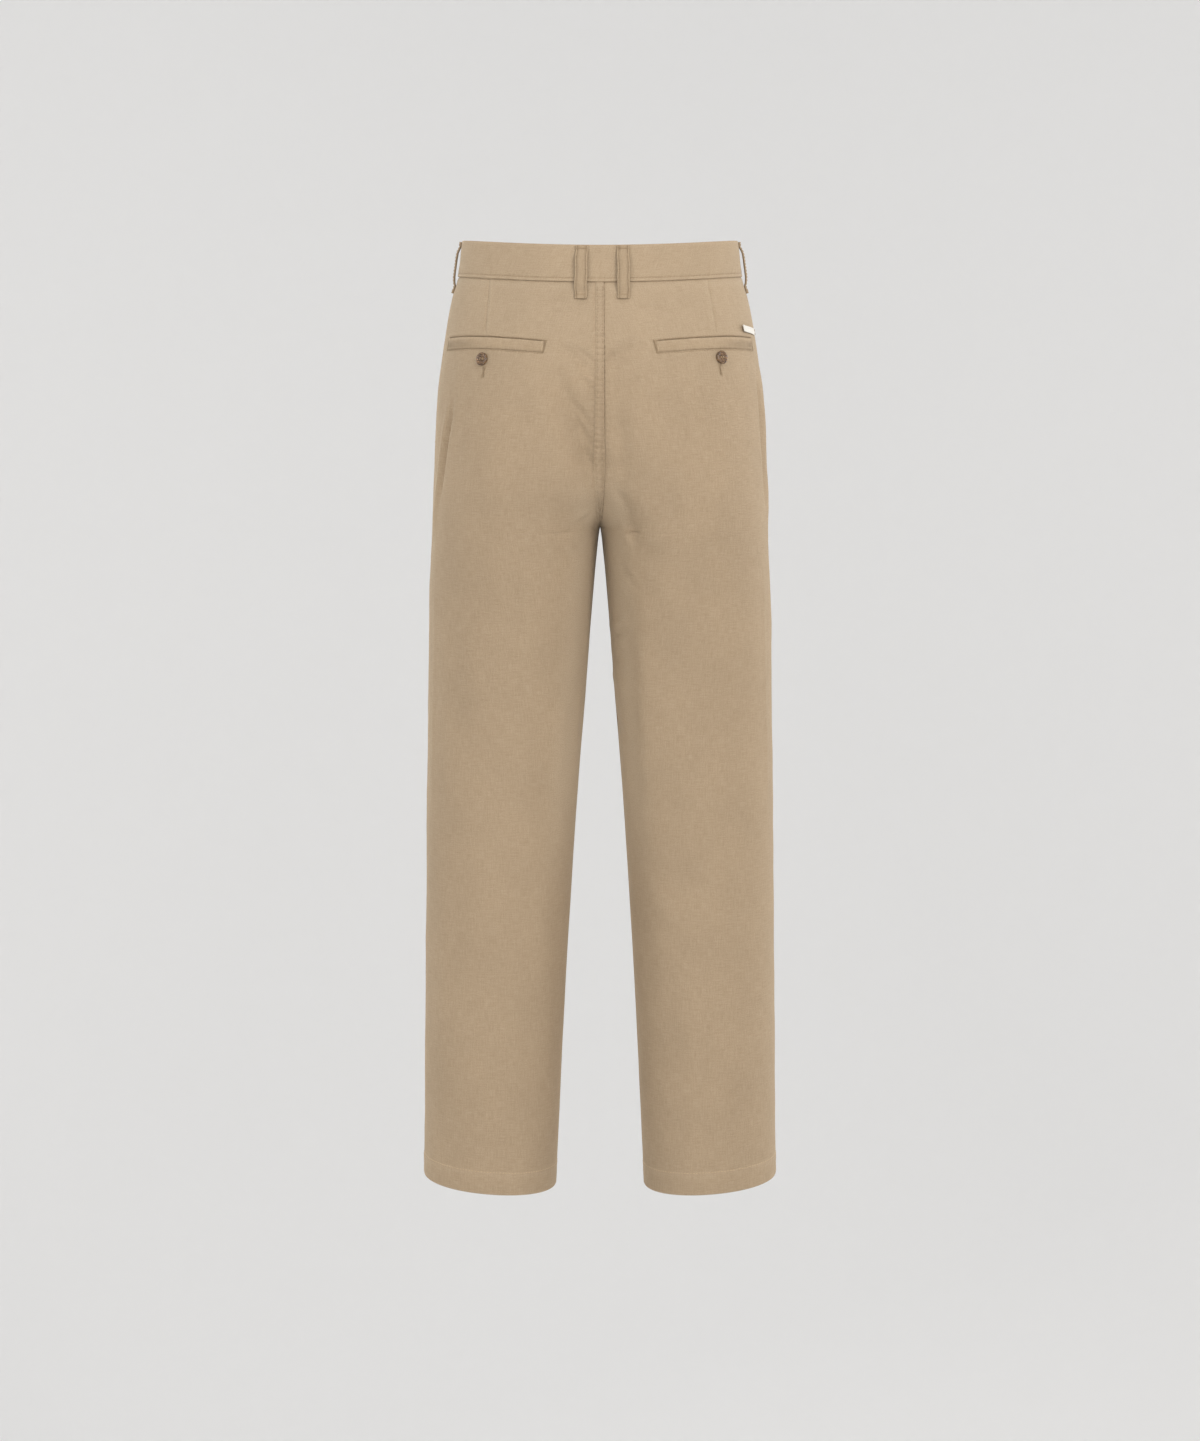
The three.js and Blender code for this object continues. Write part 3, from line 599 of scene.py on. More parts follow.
def side_seam(level, length, back):
    """The pressed-open side seam, and the stitched edge of the pocket's mouth."""
    away = length - SIDE_SEAM
    under = smooth(-BAND_HEIGHT - 4, -BAND_HEIGHT - 1, level)
    seam = groove(away, 1.7, -0.95) + groove(np.abs(away) - 6, 3.2, 0.3)
    mouth = -away - mouth_width(level)
    inside = (level > MOUTH_BOTTOM) & ~back
    edge = groove(mouth - 6.5, 1, -0.3) + groove(mouth - 1, 3, 0.35)
    bow = 0.9 * smooth(MOUTH_BOTTOM, MOUTH_BOTTOM + 40, level) * smooth(-45, -80, level)
    edge = edge + groove(mouth, 9, 1) * bow
    return np.where(inside, edge, seam * (1 - under)) * smooth(HEM, HEM + 3, level)


def welt_bed(level, centre):
    """The slit above each welt, the seam below it and the cloth swelling round them."""
    share = (centre - WELT["start"]) / WELT["length"]
    inside = smooth(-0.02, 0.015, share) * (1 - smooth(0.985, 1.02, share))
    above = level - welt_line(share)
    slit = groove(above - 0.2, 0.8, -OPENING_DEPTH) + groove(above - 3, 2, 0.5)
    below = above + WELT["height"]
    seam = groove(below, 0.9, -0.9) + groove(below + 4, 2.6, 0.3)
    return inside * (slit + seam)


def hem_relief(level, length):
    """The stitched hem: a step at the row and faint ropes below it."""
    row = HEM + HEM_DEPTH
    ropes = np.sin(2 * math.pi * (length + 0.5 * (level - row)) / 11 + np.sin(length / 23))
    turned = smooth(row + 1.5, row - 1.5, level)
    fade = np.exp(-((level - row + 6) / 9) ** 2)
    return groove(level - row, 1.2, -0.2) + 0.35 * turned + 0.16 * ropes * fade


def seam_tone(side, level, length, centre, across, back):
    """The cloth's tone: below 0 darker, above 0 paler. Painted shade in the grooves of the seams,
    darts, slits and buttonholes and in the seat's hollow, painted highlights on puckers and the dart's
    ridge, painted light on the inner thighs, and the upper back paler.
    """
    # Painted shade in the grooves along the seat seam's lap and stitches and in the front's centre
    # seam, painted highlights on the puckers between them, and below the fork painted shade in the
    # inseam's groove
    upper = smooth(FORK - 6, FORK + 6, level)
    puckers = 0.5 + 0.5 * np.sin(2 * math.pi * level / PUCKER_PITCH + 1.4 * np.sin(level / 31) + 1)
    lines = groove(centre - FELL - 0.8, 0.8, 0.18 + 0.05 * puckers)
    lines = lines + groove(centre - 2.2, 0.7, 0.14) * puckers
    beside = groove(centre - FELL - 3.5, 2.4, 0.14) * (1 - puckers)
    beside = beside - groove(centre - 2.6, 1.4, 0.35) * (1 - puckers)
    seat = upper * (lines + beside) + (1 - upper) * groove(centre, 1.4, 0.5)
    tone = np.where(back, -seat, -groove(centre - 1, 1.2, 0.2))
    # Painted shade in the side seam's groove
    tone = tone - groove(length - SIDE_SEAM, 1.5, 0.45)
    # Painted shade in the dart's groove and a painted highlight on the ridge beside it
    share, away, _ = dart_place(side, level, across)
    here = smooth(-0.05, 0.05, share) * (1 - smooth(0.9, 1.04, share))
    dart = groove(away, 0.9, 0.26) - groove(away + 3, 2.6, 0.2)
    tone = tone - np.where(back, here * dart, 0)
    # Painted shade in the slit above each welt and in the groove of the seam below it
    share = (centre - WELT["start"]) / WELT["length"]
    inside = smooth(-0.02, 0.01, share) * (1 - smooth(0.99, 1.02, share))
    above = level - welt_line(share)
    slit = groove(above - 0.3, 1.1, 0.3) + groove(above + WELT["height"] + 0.4, 0.9, 0.1)
    tone = tone - np.where(back, inside * slit, 0)
    # Painted shade in the slit of each buttonhole
    x, top, bottom = BUTTONHOLES[side]
    here = smooth(top + 1, top - 1, level) * smooth(bottom - 0.6, bottom + 1, level)
    tone = tone - np.where(back, here * groove(across - x, 0.9, 0.85), 0)
    # Painted shade in the seat's hollow beside the seam
    hollow = SEAT_HOLLOW_SHADE[side]
    first, last = hollow["from"], hollow["to"]
    edge = hollow["top"] + (hollow["bottom"] - hollow["top"]) * (level - first) / (last - first)
    hollow_shade = smooth(edge + 14, edge - 14, across) * smooth(first + 16, first - 16, level)
    hollow_shade = hollow_shade * smooth(last - 24, last + 8, level)
    tone = tone - hollow["dark"] * np.where(back, hollow_shade, 0)
    inseam = np.maximum(0, FORM.inseam_at(level))
    tone = tone + 0.35 * smooth(-190, -70, level)
    # Painted light: the backs of the inner thighs beside the inseam are paled, standing in for light
    # the other leg keeps from them
    inner_thigh_light = smooth(-760, -560, level) * smooth(-236, -312, level)
    tone = tone + np.where(back, inner_thigh_light * smooth(40, 12, across - inseam), 0) * INNER_THIGH_LIGHT[side]
    return tone + 0.25 * np.where(back, groove(level + 45, 4, 1), 0)


def cloth_face(side, level, length, out=0.0):
    """Points and normals of the creased cloth, moved out by a distance."""
    point, normal, across = FORM.place(side, level, length)
    lift = creases(side, level, length, across) + out
    return point + normal * np.asarray(lift)[..., None], normal


# Meshes

def facing_out(points, faces):
    """The quads of a closed skin, turned round where the volume inside comes out negative."""
    a, b, c, d = (points[faces[:, k]] for k in range(4))
    halves = np.einsum("ij,ij->i", a, np.cross(b, c)) + np.einsum("ij,ij->i", a, np.cross(c, d))
    return faces[:, ::-1] if halves.sum() < 0 else faces


def grain_of(along, up):
    """Where points lie on the cloth, as pairs."""
    return np.stack(np.broadcast_arrays(along, up), axis=-1).reshape(-1, 2)


def put(name, data):
    """A new object in the scene."""
    made = bpy.data.objects.new(name, data)
    bpy.context.scene.collection.objects.link(made)
    return made


def add_piece(name, points, faces, material, grain=None, wear_and_shading_values=None, sharp=38, node=None):
    """A smooth mesh object of quads, riding on the garment. points are in millimetres.

    node is the solid that the piece replaces, where there is one."""
    mesh = bpy.data.meshes.new(name)
    mesh.from_pydata((points * MM).tolist(), [], faces.tolist())
    corners = np.empty(len(mesh.loops), dtype=np.int32)
    mesh.loops.foreach_get("vertex_index", corners)
    if grain is not None:
        layer = mesh.uv_layers.new(name="grain")
        layer.data.foreach_set("uv", (grain[corners] * MM).astype(np.float32).ravel())
    # Per point: paler for wear and painted light, darker for painted shade
    attribute = mesh.attributes.new("wear_and_shading", "FLOAT", "POINT")
    attribute.data.foreach_set("value", np.zeros(len(points), np.float32)
                               if wear_and_shading_values is None else wear_and_shading_values.astype(np.float32))
    mesh.materials.append(material)
    mesh.shade_smooth()
    mesh.set_sharp_from_angle(angle=math.radians(sharp))
    mesh.validate()
    piece = put(name, mesh)
    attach(piece, "root")
    if node:
        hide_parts(node)
    return piece


def grid_faces(rows, columns, start=0):
    """Quads between the points of a grid."""
    at = np.arange(rows * columns).reshape(rows, columns) + start
    quads = np.stack([at[:-1, :-1], at[1:, :-1], at[1:, 1:], at[:-1, 1:]], axis=-1)
    return quads.reshape(-1, 4)


def shell(outer, inner):
    """Points and quads of a closed wall between two grids of the same shape."""
    rows, columns = outer.shape[:2]
    count = rows * columns
    points = np.concatenate([outer.reshape(-1, 3), inner.reshape(-1, 3)])
    at = np.arange(count).reshape(rows, columns)
    rim = np.concatenate([at[0, :-1], at[:-1, -1], at[-1, :0:-1], at[:0:-1, 0]])
    after = np.roll(rim, -1)
    walls = np.stack([rim, after, after + count, rim + count], axis=-1)
    faces = np.concatenate([grid_faces(rows, columns),
                            grid_faces(rows, columns, count)[:, ::-1], walls])
    return points, facing_out(points, faces)


def skin_faces(at):
    """Quads between rings of point numbers, one ring a row."""
    turned = np.roll(at, -1, axis=1)
    return np.stack([at[:-1], turned[:-1], turned[1:], at[1:]], axis=-1).reshape(-1, 4)


def tube(rings):
    """Points and quads of a closed skin round rings of points, with flat ends."""
    count, sides = rings.shape[:2]
    points = rings.reshape(-1, 3)
    at = np.arange(count * sides).reshape(count, sides)
    half = sides // 2
    ends = []
    for ring, flip in ((at[0], True), (at[-1], False)):
        back = ring[::-1]
        cap = np.stack([ring[:half - 1], ring[1:half], back[1:half], back[:half - 1]], axis=-1)
        ends.append(cap[:, ::-1] if flip else cap)
    return points, facing_out(points, np.concatenate([skin_faces(at), *ends]))


def steps_between(marks):
    """Numbers through (from, to, step) stretches, one after the other."""
    found = [marks[0][0]]
    for start, end, step in marks:
        count = max(1, round(abs(end - start) / step))
        found.extend(np.linspace(start, end, count + 1)[1:])
    return np.array(found)


def join(parts):
    """Several sets of points and faces as one."""
    points, faces, total = [], [], 0
    for some_points, some_faces in parts:
        points.append(some_points)
        faces.append(some_faces + total)
        total += len(some_points)
    return np.concatenate(points), np.concatenate(faces)


# Sewing

# The hems are sewn with a paler thread: its colour as a share of the other thread's
HEM_THREAD = 1.6
# Rings of one stitch: share of its length, and size and rise as shares of the thread's radius
THREAD_RINGS = ((0, 0.35, -0.9), (0.2, 0.95, 0.2), (0.8, 0.95, 0.2), (1, 0.35, -0.9))


def threads(starts, ends, ups, radius):
    """Short raised lengths of thread between pairs of points."""
    along = ends - starts
    sideways = np.cross(along, ups)
    sideways /= np.maximum(np.linalg.norm(sideways, axis=-1, keepdims=True), 1e-9)
    rings = []
    for share, size, rise in THREAD_RINGS:
        middle = starts + along * share + ups * (rise * radius)
        rings.append(np.stack([middle + sideways * size * radius, middle + ups * size * radius,
                               middle - sideways * size * radius, middle - ups * size * radius],
                              axis=1))
    points = np.stack(rings, axis=1).reshape(-1, 3)
    one = np.arange(16).reshape(4, 4)
    faces = np.concatenate([skin_faces(one), one[:1, ::-1], one[-1:]])
    faces = (faces[None] + one.size * np.arange(len(starts))[:, None, None]).reshape(-1, 4)
    return points, facing_out(points, faces)


def stitches(line, normals, sewing):
    """Stitches along a line of points, with the thread dipping between them."""
    run = np.linalg.norm(np.diff(line, axis=0), axis=1).cumsum()
    run = np.concatenate([[0], run])
    long, gap = sewing.stitch / MM, sewing.gap / MM
    count = max(1, int((run[-1] + gap) / (long + gap)))
    pitch = (run[-1] + gap) / count
    first = np.arange(count) * pitch
    last = first + pitch - gap

    def at(values, places):
        return np.stack([np.interp(places, run, values[:, k]) for k in range(3)], axis=-1)

    ups = at(normals, (first + last) / 2)
    ups /= np.linalg.norm(ups, axis=-1, keepdims=True)
    return threads(at(line, first), at(line, last), ups, sewing.thread / MM / 2)


def sewn_line(side, level, length, sewing, out=0.12):
    """A row of stitches on the cloth through levels and lengths."""
    line, normals = cloth_face(side, level, length, out)
    return stitches(line, normals, sewing)


def bartack(side, level, length, height, width, sewing, out=0.4, upright=True):
    """A dense bar of thread that holds a corner, upright or lying."""
    rows = int(height / 0.75)
    places = np.linspace(-height / 2, height / 2, rows)
    sway = np.where(np.arange(rows) % 2, 0.12, -0.12)
    if upright:
        starts, normals = cloth_face(side, level + places, length - width / 2 + sway, out)
        ends, _ = cloth_face(side, level + places + 0.2, length + width / 2 + sway, out)
    else:
        starts, normals = cloth_face(side, level - width / 2 + sway, length + places, out)
        ends, _ = cloth_face(side, level + width / 2 + sway, length + places + 0.2, out)
    return threads(starts, ends, normals, sewing.thread / MM * 0.55)


def add_sewing(name, parts, tint=1.0):
    """Sets of stitches as one piece."""
    points, faces = join(parts)
    return add_piece(name, points, faces, thread_material(tint), sharp=70)


# Materials

def add_node(tree, kind, links=(), **settings):
    """A shader node with its settings and its incoming links.

    The setting values maps inputs to values; links are pairs of an input and an output."""
    node = tree.nodes.new("ShaderNode" + kind)
    values = settings.pop("values", {})
    for name, value in settings.items():
        setattr(node, name, value)
    for name, value in values.items():
        node.inputs[name].default_value = value
    for name, output in links:
        tree.links.new(output, node.inputs[name])
    return node


def new_material(name, **values):
    """A material with one principled shader, whose tree the caller completes."""
    material = bpy.data.materials.new(name)
    material.use_nodes = True
    tree = material.node_tree
    tree.nodes.clear()
    shader = add_node(tree, "BsdfPrincipled", values=values)
    add_node(tree, "OutputMaterial", [("Surface", shader.outputs["BSDF"])])
    return material, tree, shader


def rgba(colour):
    """A colour with full alpha."""
    return (*colour, 1.0)


def shade(colour, share):
    """A colour made darker or lighter by a share."""
    return tuple(min(1.0, c * share) for c in colour)


def streaks(tree, scale, stretch, detail):
    """Noise along the cloth's grain, stretched by a pair of scales per metre."""
    grain = add_node(tree, "UVMap", uv_map="grain")
    sized = add_node(tree, "VectorMath", [(0, grain.outputs["UV"])], operation="MULTIPLY",
                     values={1: (stretch[0], stretch[1], 1)})
    noise = add_node(tree, "TexNoise", [("Vector", sized.outputs["Vector"])],
                     noise_dimensions="2D",
                     values={"Scale": scale, "Detail": detail, "Roughness": 0.55})
    return noise.outputs["Fac"]


def twill_material(kind="single"):
    """Washed cotton twill, piece-dyed and woven 2/1 with slubby yarns.

    The yarns scatter light, so the cloth is matt with a faint bloom where it turns away."""
    name = f"Washed cotton twill, {kind}"
    if name in bpy.data.materials:
        return bpy.data.materials[name]
    cloth = bpy.context.scene.chino_cloth
    material, tree, shader = new_material(
        name, **{"Roughness": 0.9, "Specular IOR Level": 0.22, "Sheen Weight": 0.18,
                 "Sheen Roughness": 0.45, "Sheen Tint": rgba(linear("efe0c8"))})
    # Real wales are 0.6 mm apart. They are drawn at the wale spacing of the settings, coarser,
    # so that a whole-garment view still shows a diagonal.
    grain = add_node(tree, "UVMap", uv_map="grain")
    split = add_node(tree, "SeparateXYZ", [("Vector", grain.outputs["UV"])])
    steep = add_node(tree, "Math", [(0, split.outputs["Y"])], operation="MULTIPLY",
                     values={1: 0.55})
    sum_ = add_node(tree, "Math",
                    [(0, split.outputs["X"]), (1, steep.outputs["Value"])], operation="ADD")
    turns = add_node(tree, "Math", [(0, sum_.outputs["Value"])], operation="MULTIPLY",
                     values={1: 2 * math.pi / cloth.wale})
    wale = add_node(tree, "Math", [(0, turns.outputs["Value"])], operation="SINE")
    # Yarn slubs: 1.1 mm thick and some 12 mm long, both ways
    weft = streaks(tree, 1.0, (80, 900), 2.0)
    warp = streaks(tree, 1.0, (820, 70), 2.0)
    # The grain of single floats, 1.2 mm
    floats = streaks(tree, 850.0, (1, 1), 1.0)
    # Uneven wash over the garment, in patches of some 70 mm
    wash = streaks(tree, 14.0, (1, 0.7), 3.0)
    slubs = add_node(tree, "Math", [(0, weft), (1, warp)], operation="ADD")
    tone = add_node(tree, "Math", [(0, slubs.outputs["Value"]), (1, floats)],
                    operation="ADD")
    spread = add_node(tree, "MapRange", [("Value", tone.outputs["Value"])],
                      values={"From Min": 1.1, "From Max": 1.9,
                              "To Min": 0.5 - cloth.slub, "To Max": 0.5 + cloth.slub})
    body = shade(cloth.twill, 1.0 if kind == "single" else 1.03)
    yarns = add_node(tree, "ValToRGB", [("Fac", spread.outputs["Result"])])
    yarns.color_ramp.elements[0].color = rgba(cloth.twill_dark)
    yarns.color_ramp.elements[1].color = rgba(cloth.twill_light)
    middle = yarns.color_ramp.elements.new(0.5)
    middle.color = rgba(body)
    patches = add_node(tree, "MapRange", [("Value", wash)],
                       values={"From Min": 0.3, "From Max": 0.7, "To Min": 0.965, "To Max": 1.03})
    washed = add_node(tree, "VectorMath",
                      [(0, yarns.outputs["Color"]), ("Scale", patches.outputs["Result"])],
                      operation="SCALE")
    # The attribute pales the cloth for wear at hems and edges and for painted light, and darkens it
    # towards a deep twill for painted shade in grooves, slits, hollows and on loop sides
    wear_and_shading = add_node(tree, "Attribute", attribute_name="wear_and_shading")
    lightening = add_node(tree, "Math", [(0, wear_and_shading.outputs["Fac"]), (1, floats)],
                    operation="MULTIPLY", use_clamp=True)
    darkening = add_node(tree, "Math", [(0, wear_and_shading.outputs["Fac"])], operation="MULTIPLY",
                    use_clamp=True, values={1: -1.0})
    lightened = add_node(tree, "Mix", data_type="RGBA")
    set_mix(tree, lightened, lightening.outputs["Value"], washed.outputs["Vector"], cloth.twill_light)
    deep = add_node(tree, "Mix", data_type="RGBA")
    set_mix(tree, deep, darkening.outputs["Value"], lightened.outputs[2], shade(cloth.twill_dark, 0.42))
    tree.links.new(deep.outputs[2], shader.inputs["Base Color"])
    height = add_node(tree, "Math",
                      [(0, wale.outputs["Value"]), (2, tone.outputs["Value"])],
                      operation="MULTIPLY_ADD", values={1: 0.12})
    bump = add_node(tree, "Bump", [("Height", height.outputs["Value"])],
                    values={"Strength": 0.5, "Distance": 0.35 * MM})
    tree.links.new(bump.outputs["Normal"], shader.inputs["Normal"])
    return material


def set_mix(tree, node, factor, first, second):
    """Sets a colour mix by position, because its sockets share their names."""
    sockets = [s for s in node.inputs if s.enabled]
    tree.links.new(factor, sockets[0])
    tree.links.new(first, sockets[1])
    sockets[2].default_value = rgba(second)


def pocketing_material():
    """Plain-woven cotton pocketing: a pale, dull, slightly open cloth."""
    name = "Plain-woven cotton pocketing"
    if name in bpy.data.materials:
        return bpy.data.materials[name]
    cloth = bpy.context.scene.chino_cloth
    material, tree, shader = new_material(
        name, **{"Roughness": 0.95, "Specular IOR Level": 0.2, "Sheen Weight": 0.1})
    # Threads 0.7 mm apart both ways, drawn coarser than the real 0.35 mm
    weft = streaks(tree, 1.0, (60, 1400), 1.0)
    warp = streaks(tree, 1.0, (1400, 60), 1.0)
    weave = add_node(tree, "Math", [(0, weft), (1, warp)], operation="ADD")
    ramp = add_node(tree, "ValToRGB", [("Fac", weave.outputs["Value"])])
    ramp.color_ramp.elements[0].position = 0.6
    ramp.color_ramp.elements[1].position = 1.0
    ramp.color_ramp.elements[0].color = rgba(shade(cloth.pocketing, 0.85))
    ramp.color_ramp.elements[1].color = rgba(cloth.pocketing)
    bump = add_node(tree, "Bump", [("Height", weave.outputs["Value"])],
                    values={"Strength": 0.4, "Distance": 0.25 * MM})
    tree.links.new(ramp.outputs["Color"], shader.inputs["Base Color"])
    tree.links.new(bump.outputs["Normal"], shader.inputs["Normal"])
    return material


def thread_material(tint=1.0):
    """Core-spun polyester thread: smoother than the cloth, so stitches catch a soft light."""
    name = "Core-spun sewing thread" if tint == 1.0 else "Core-spun sewing thread, pale"
    if name in bpy.data.materials:
        return bpy.data.materials[name]
    sewing = bpy.context.scene.chino_sewing
    material, tree, shader = new_material(
        name, **{"Roughness": 0.62, "Specular IOR Level": 0.35, "Sheen Weight": 0.15})
    place = add_node(tree, "TexCoord")
    # The ply of the thread, some 0.8 mm a turn
    noise = add_node(tree, "TexNoise", [("Vector", place.outputs["Object"])],
                     values={"Scale": 1250.0, "Detail": 1.0})
    ramp = add_node(tree, "ValToRGB", [("Fac", noise.outputs["Fac"])])
    ramp.color_ramp.elements[0].color = rgba(shade(sewing.thread_colour, 0.78 * tint))
    ramp.color_ramp.elements[1].color = rgba(shade(sewing.thread_colour, 1.15 * tint))
    tree.links.new(ramp.outputs["Color"], shader.inputs["Base Color"])
    return material


def horn_material():
    """Buffalo horn, turned and polished: a deep brown ground with pale streaks and a soft gloss."""
    name = "Polished horn"
    if name in bpy.data.materials:
        return bpy.data.materials[name]
    trims = bpy.context.scene.chino_trims
    material, tree, shader = new_material(
        name, **{"Roughness": 0.26, "IOR": 1.54, "Coat Weight": 0.6, "Coat Roughness": 0.12})
    place = add_node(tree, "TexCoord")
    sized = add_node(tree, "VectorMath", [(0, place.outputs["Object"])],
                     operation="MULTIPLY", values={1: (1.0, 1.0, 2.4)})
    # Streaks some 3 mm apart
    noise = add_node(tree, "TexNoise", [("Vector", sized.outputs["Vector"])],
                     values={"Scale": 210.0, "Detail": 4.0, "Distortion": 1.6})
    ramp = add_node(tree, "ValToRGB", [("Fac", noise.outputs["Fac"])])
    ramp.color_ramp.elements[0].position = 0.42
    ramp.color_ramp.elements[1].position = 0.72
    ramp.color_ramp.elements[0].color = rgba(trims.horn)
    ramp.color_ramp.elements[1].color = rgba(trims.horn_streak)
    tree.links.new(ramp.outputs["Color"], shader.inputs["Base Color"])
    return material


def brass_material():
    """Antique brass, stamped and tumbled: a warm metal, duller where it has tarnished."""
    name = "Tumbled antique brass"
    if name in bpy.data.materials:
        return bpy.data.materials[name]
    trims = bpy.context.scene.chino_trims
    material, tree, shader = new_material(name, **{"Metallic": 1.0})
    place = add_node(tree, "TexCoord")
    # Tarnish in specks of some 1.5 mm
    noise = add_node(tree, "TexNoise", [("Vector", place.outputs["Object"])],
                     values={"Scale": 650.0, "Detail": 3.0})
    ramp = add_node(tree, "ValToRGB", [("Fac", noise.outputs["Fac"])])
    ramp.color_ramp.elements[0].color = rgba(shade(trims.brass, 0.5))
    ramp.color_ramp.elements[1].color = rgba(trims.brass)
    rough = add_node(tree, "MapRange", [("Value", noise.outputs["Fac"])],
                     values={"To Min": 0.5, "To Max": 0.28})
    tree.links.new(ramp.outputs["Color"], shader.inputs["Base Color"])
    tree.links.new(rough.outputs["Result"], shader.inputs["Roughness"])
    return material


def label_material():
    """Woven satin tape, heat-cut: white and close, with a low sheen across its threads."""
    name = "Woven satin tape"
    if name in bpy.data.materials:
        return bpy.data.materials[name]
    trims = bpy.context.scene.chino_trims
    material, tree, shader = new_material(
        name, **{"Roughness": 0.6, "Specular IOR Level": 0.4, "Sheen Weight": 0.2})
    # Threads 0.6 mm apart, drawn coarser than the real 0.2 mm
    weave = streaks(tree, 1.0, (120, 1600), 1.0)
    ramp = add_node(tree, "ValToRGB", [("Fac", weave)])
    ramp.color_ramp.elements[0].position = 0.3
    ramp.color_ramp.elements[1].position = 0.7
    ramp.color_ramp.elements[0].color = rgba(shade(trims.label, 0.84))
    ramp.color_ramp.elements[1].color = rgba(trims.label)
    bump = add_node(tree, "Bump", [("Height", weave)],
                    values={"Strength": 0.4, "Distance": 0.2 * MM})
    tree.links.new(ramp.outputs["Color"], shader.inputs["Base Color"])
    tree.links.new(bump.outputs["Normal"], shader.inputs["Normal"])
    return material


def studio_material():
    """Matt emulsion on a curved studio wall, rolled on: pale, even and free of gloss."""
    name = "Matt studio emulsion"
    if name in bpy.data.materials:
        return bpy.data.materials[name]
    trims = bpy.context.scene.chino_trims
    material, tree, shader = new_material(name, **{"Roughness": 1.0, "Specular IOR Level": 0.0})
    place = add_node(tree, "TexCoord")
    # Roller marks, too fine to show in the render, as a hundredth of the tone
    noise = add_node(tree, "TexNoise", [("Vector", place.outputs["Object"])],
                     values={"Scale": 40.0, "Detail": 2.0})
    ramp = add_node(tree, "ValToRGB", [("Fac", noise.outputs["Fac"])])
    ramp.color_ramp.elements[0].color = rgba(shade(trims.backdrop, 0.99))
    ramp.color_ramp.elements[1].color = rgba(trims.backdrop)
    tree.links.new(ramp.outputs["Color"], shader.inputs["Base Color"])
    return material


# Pieces of cloth

# Rows of points on a panel: from one level to the next, and their spacing
TRUNK_ROWS = [(-38, -99, 1.5), (-99, -125, 0.65), (-125, SEAT, 1.6), (SEAT, FORK, 1.3)]
LEG_ROWS = [(FORK, -600, 4), (-600, HEM + 32, 6), (HEM + 32, HEM + 20, 0.8), (HEM + 20, HEM + 2.4, 2.6)]
# The hem's rounded foot: height, and how far the outer and the inner face turn in there
HEM_EDGE = ((2.4, 0, 0), (1.2, -0.12, 0.12), (0.4, -0.5, 0.5), (0, -1.1, 1.1))
# Columns of points: distances from a seam within its zone, and the end of the next zone
SEAM_STEPS = (0, 0.5, 1.1, 1.8, 2.6, 3.4, 4.2, 5, 5.9, 7, 8.4, 10.4, 13)
SEAM_ZONE = 13
NEAR_SEAM = 52
# Where each panel has columns close together, for the dart or the fly's row of stitches
DENSE = {"back": (118, 138), "front": (FLY_STITCH - 4, FLY_STITCH + 4)}
PALEST = 1.6


def panel_stations(reach, fine):
    """Distances from the centre seam, row by row, close together at the seams and in a fine
    stretch. They are laid out for the widest row and drawn in for the others."""
    widest = reach.max()
    calm = min(fine[0], NEAR_SEAM)
    middle = steps_between([(SEAM_ZONE, calm, 2.6), (calm, fine[0], 4.4),
                            (fine[0], fine[1], 1.4), (fine[1], widest - SEAM_ZONE, 4.6)])
    ends = np.array(SEAM_STEPS)
    laid_out = np.concatenate([ends[:-1], middle, (widest - ends[::-1])[1:]])
    base = [0, fine[1], widest - SEAM_ZONE, widest]
    return np.array([np.interp(laid_out, base, [0, fine[1], end - SEAM_ZONE, end])
                     for end in reach])


def panel_tone(side, level, length, centre, across, mouth, cut):
    """The tone of a panel's cloth: its seams, its hem and, on a front, its pocket's mouth.

    mouth is the distance from the pocket's mouth and cut the mouth's width, nothing on a back."""
    back = mouth is None
    wear_and_shading = 0.6 * groove(level - HEM, 1.6, 1) + 0.25 * groove(level - HEM - HEM_DEPTH + 3, 4, 1)
    wear_and_shading = wear_and_shading + 0.5 * groove(level - HEM - HEM_DEPTH, 0.9, 1)
    wear_and_shading = wear_and_shading + seam_tone(side, level, length, centre, across, back)
    if not back:
        # Paler at the mouth's folded edge for wear, and painted shade in the groove of its outer stitch
        # row
        edge = 0.6 * groove(mouth, 2.4, 1) - 0.4 * groove(mouth - 6.5, 0.9, 1)
        wear_and_shading = wear_and_shading + smooth(2, 10, cut) * edge
    return np.clip(wear_and_shading, -1, PALEST).ravel()


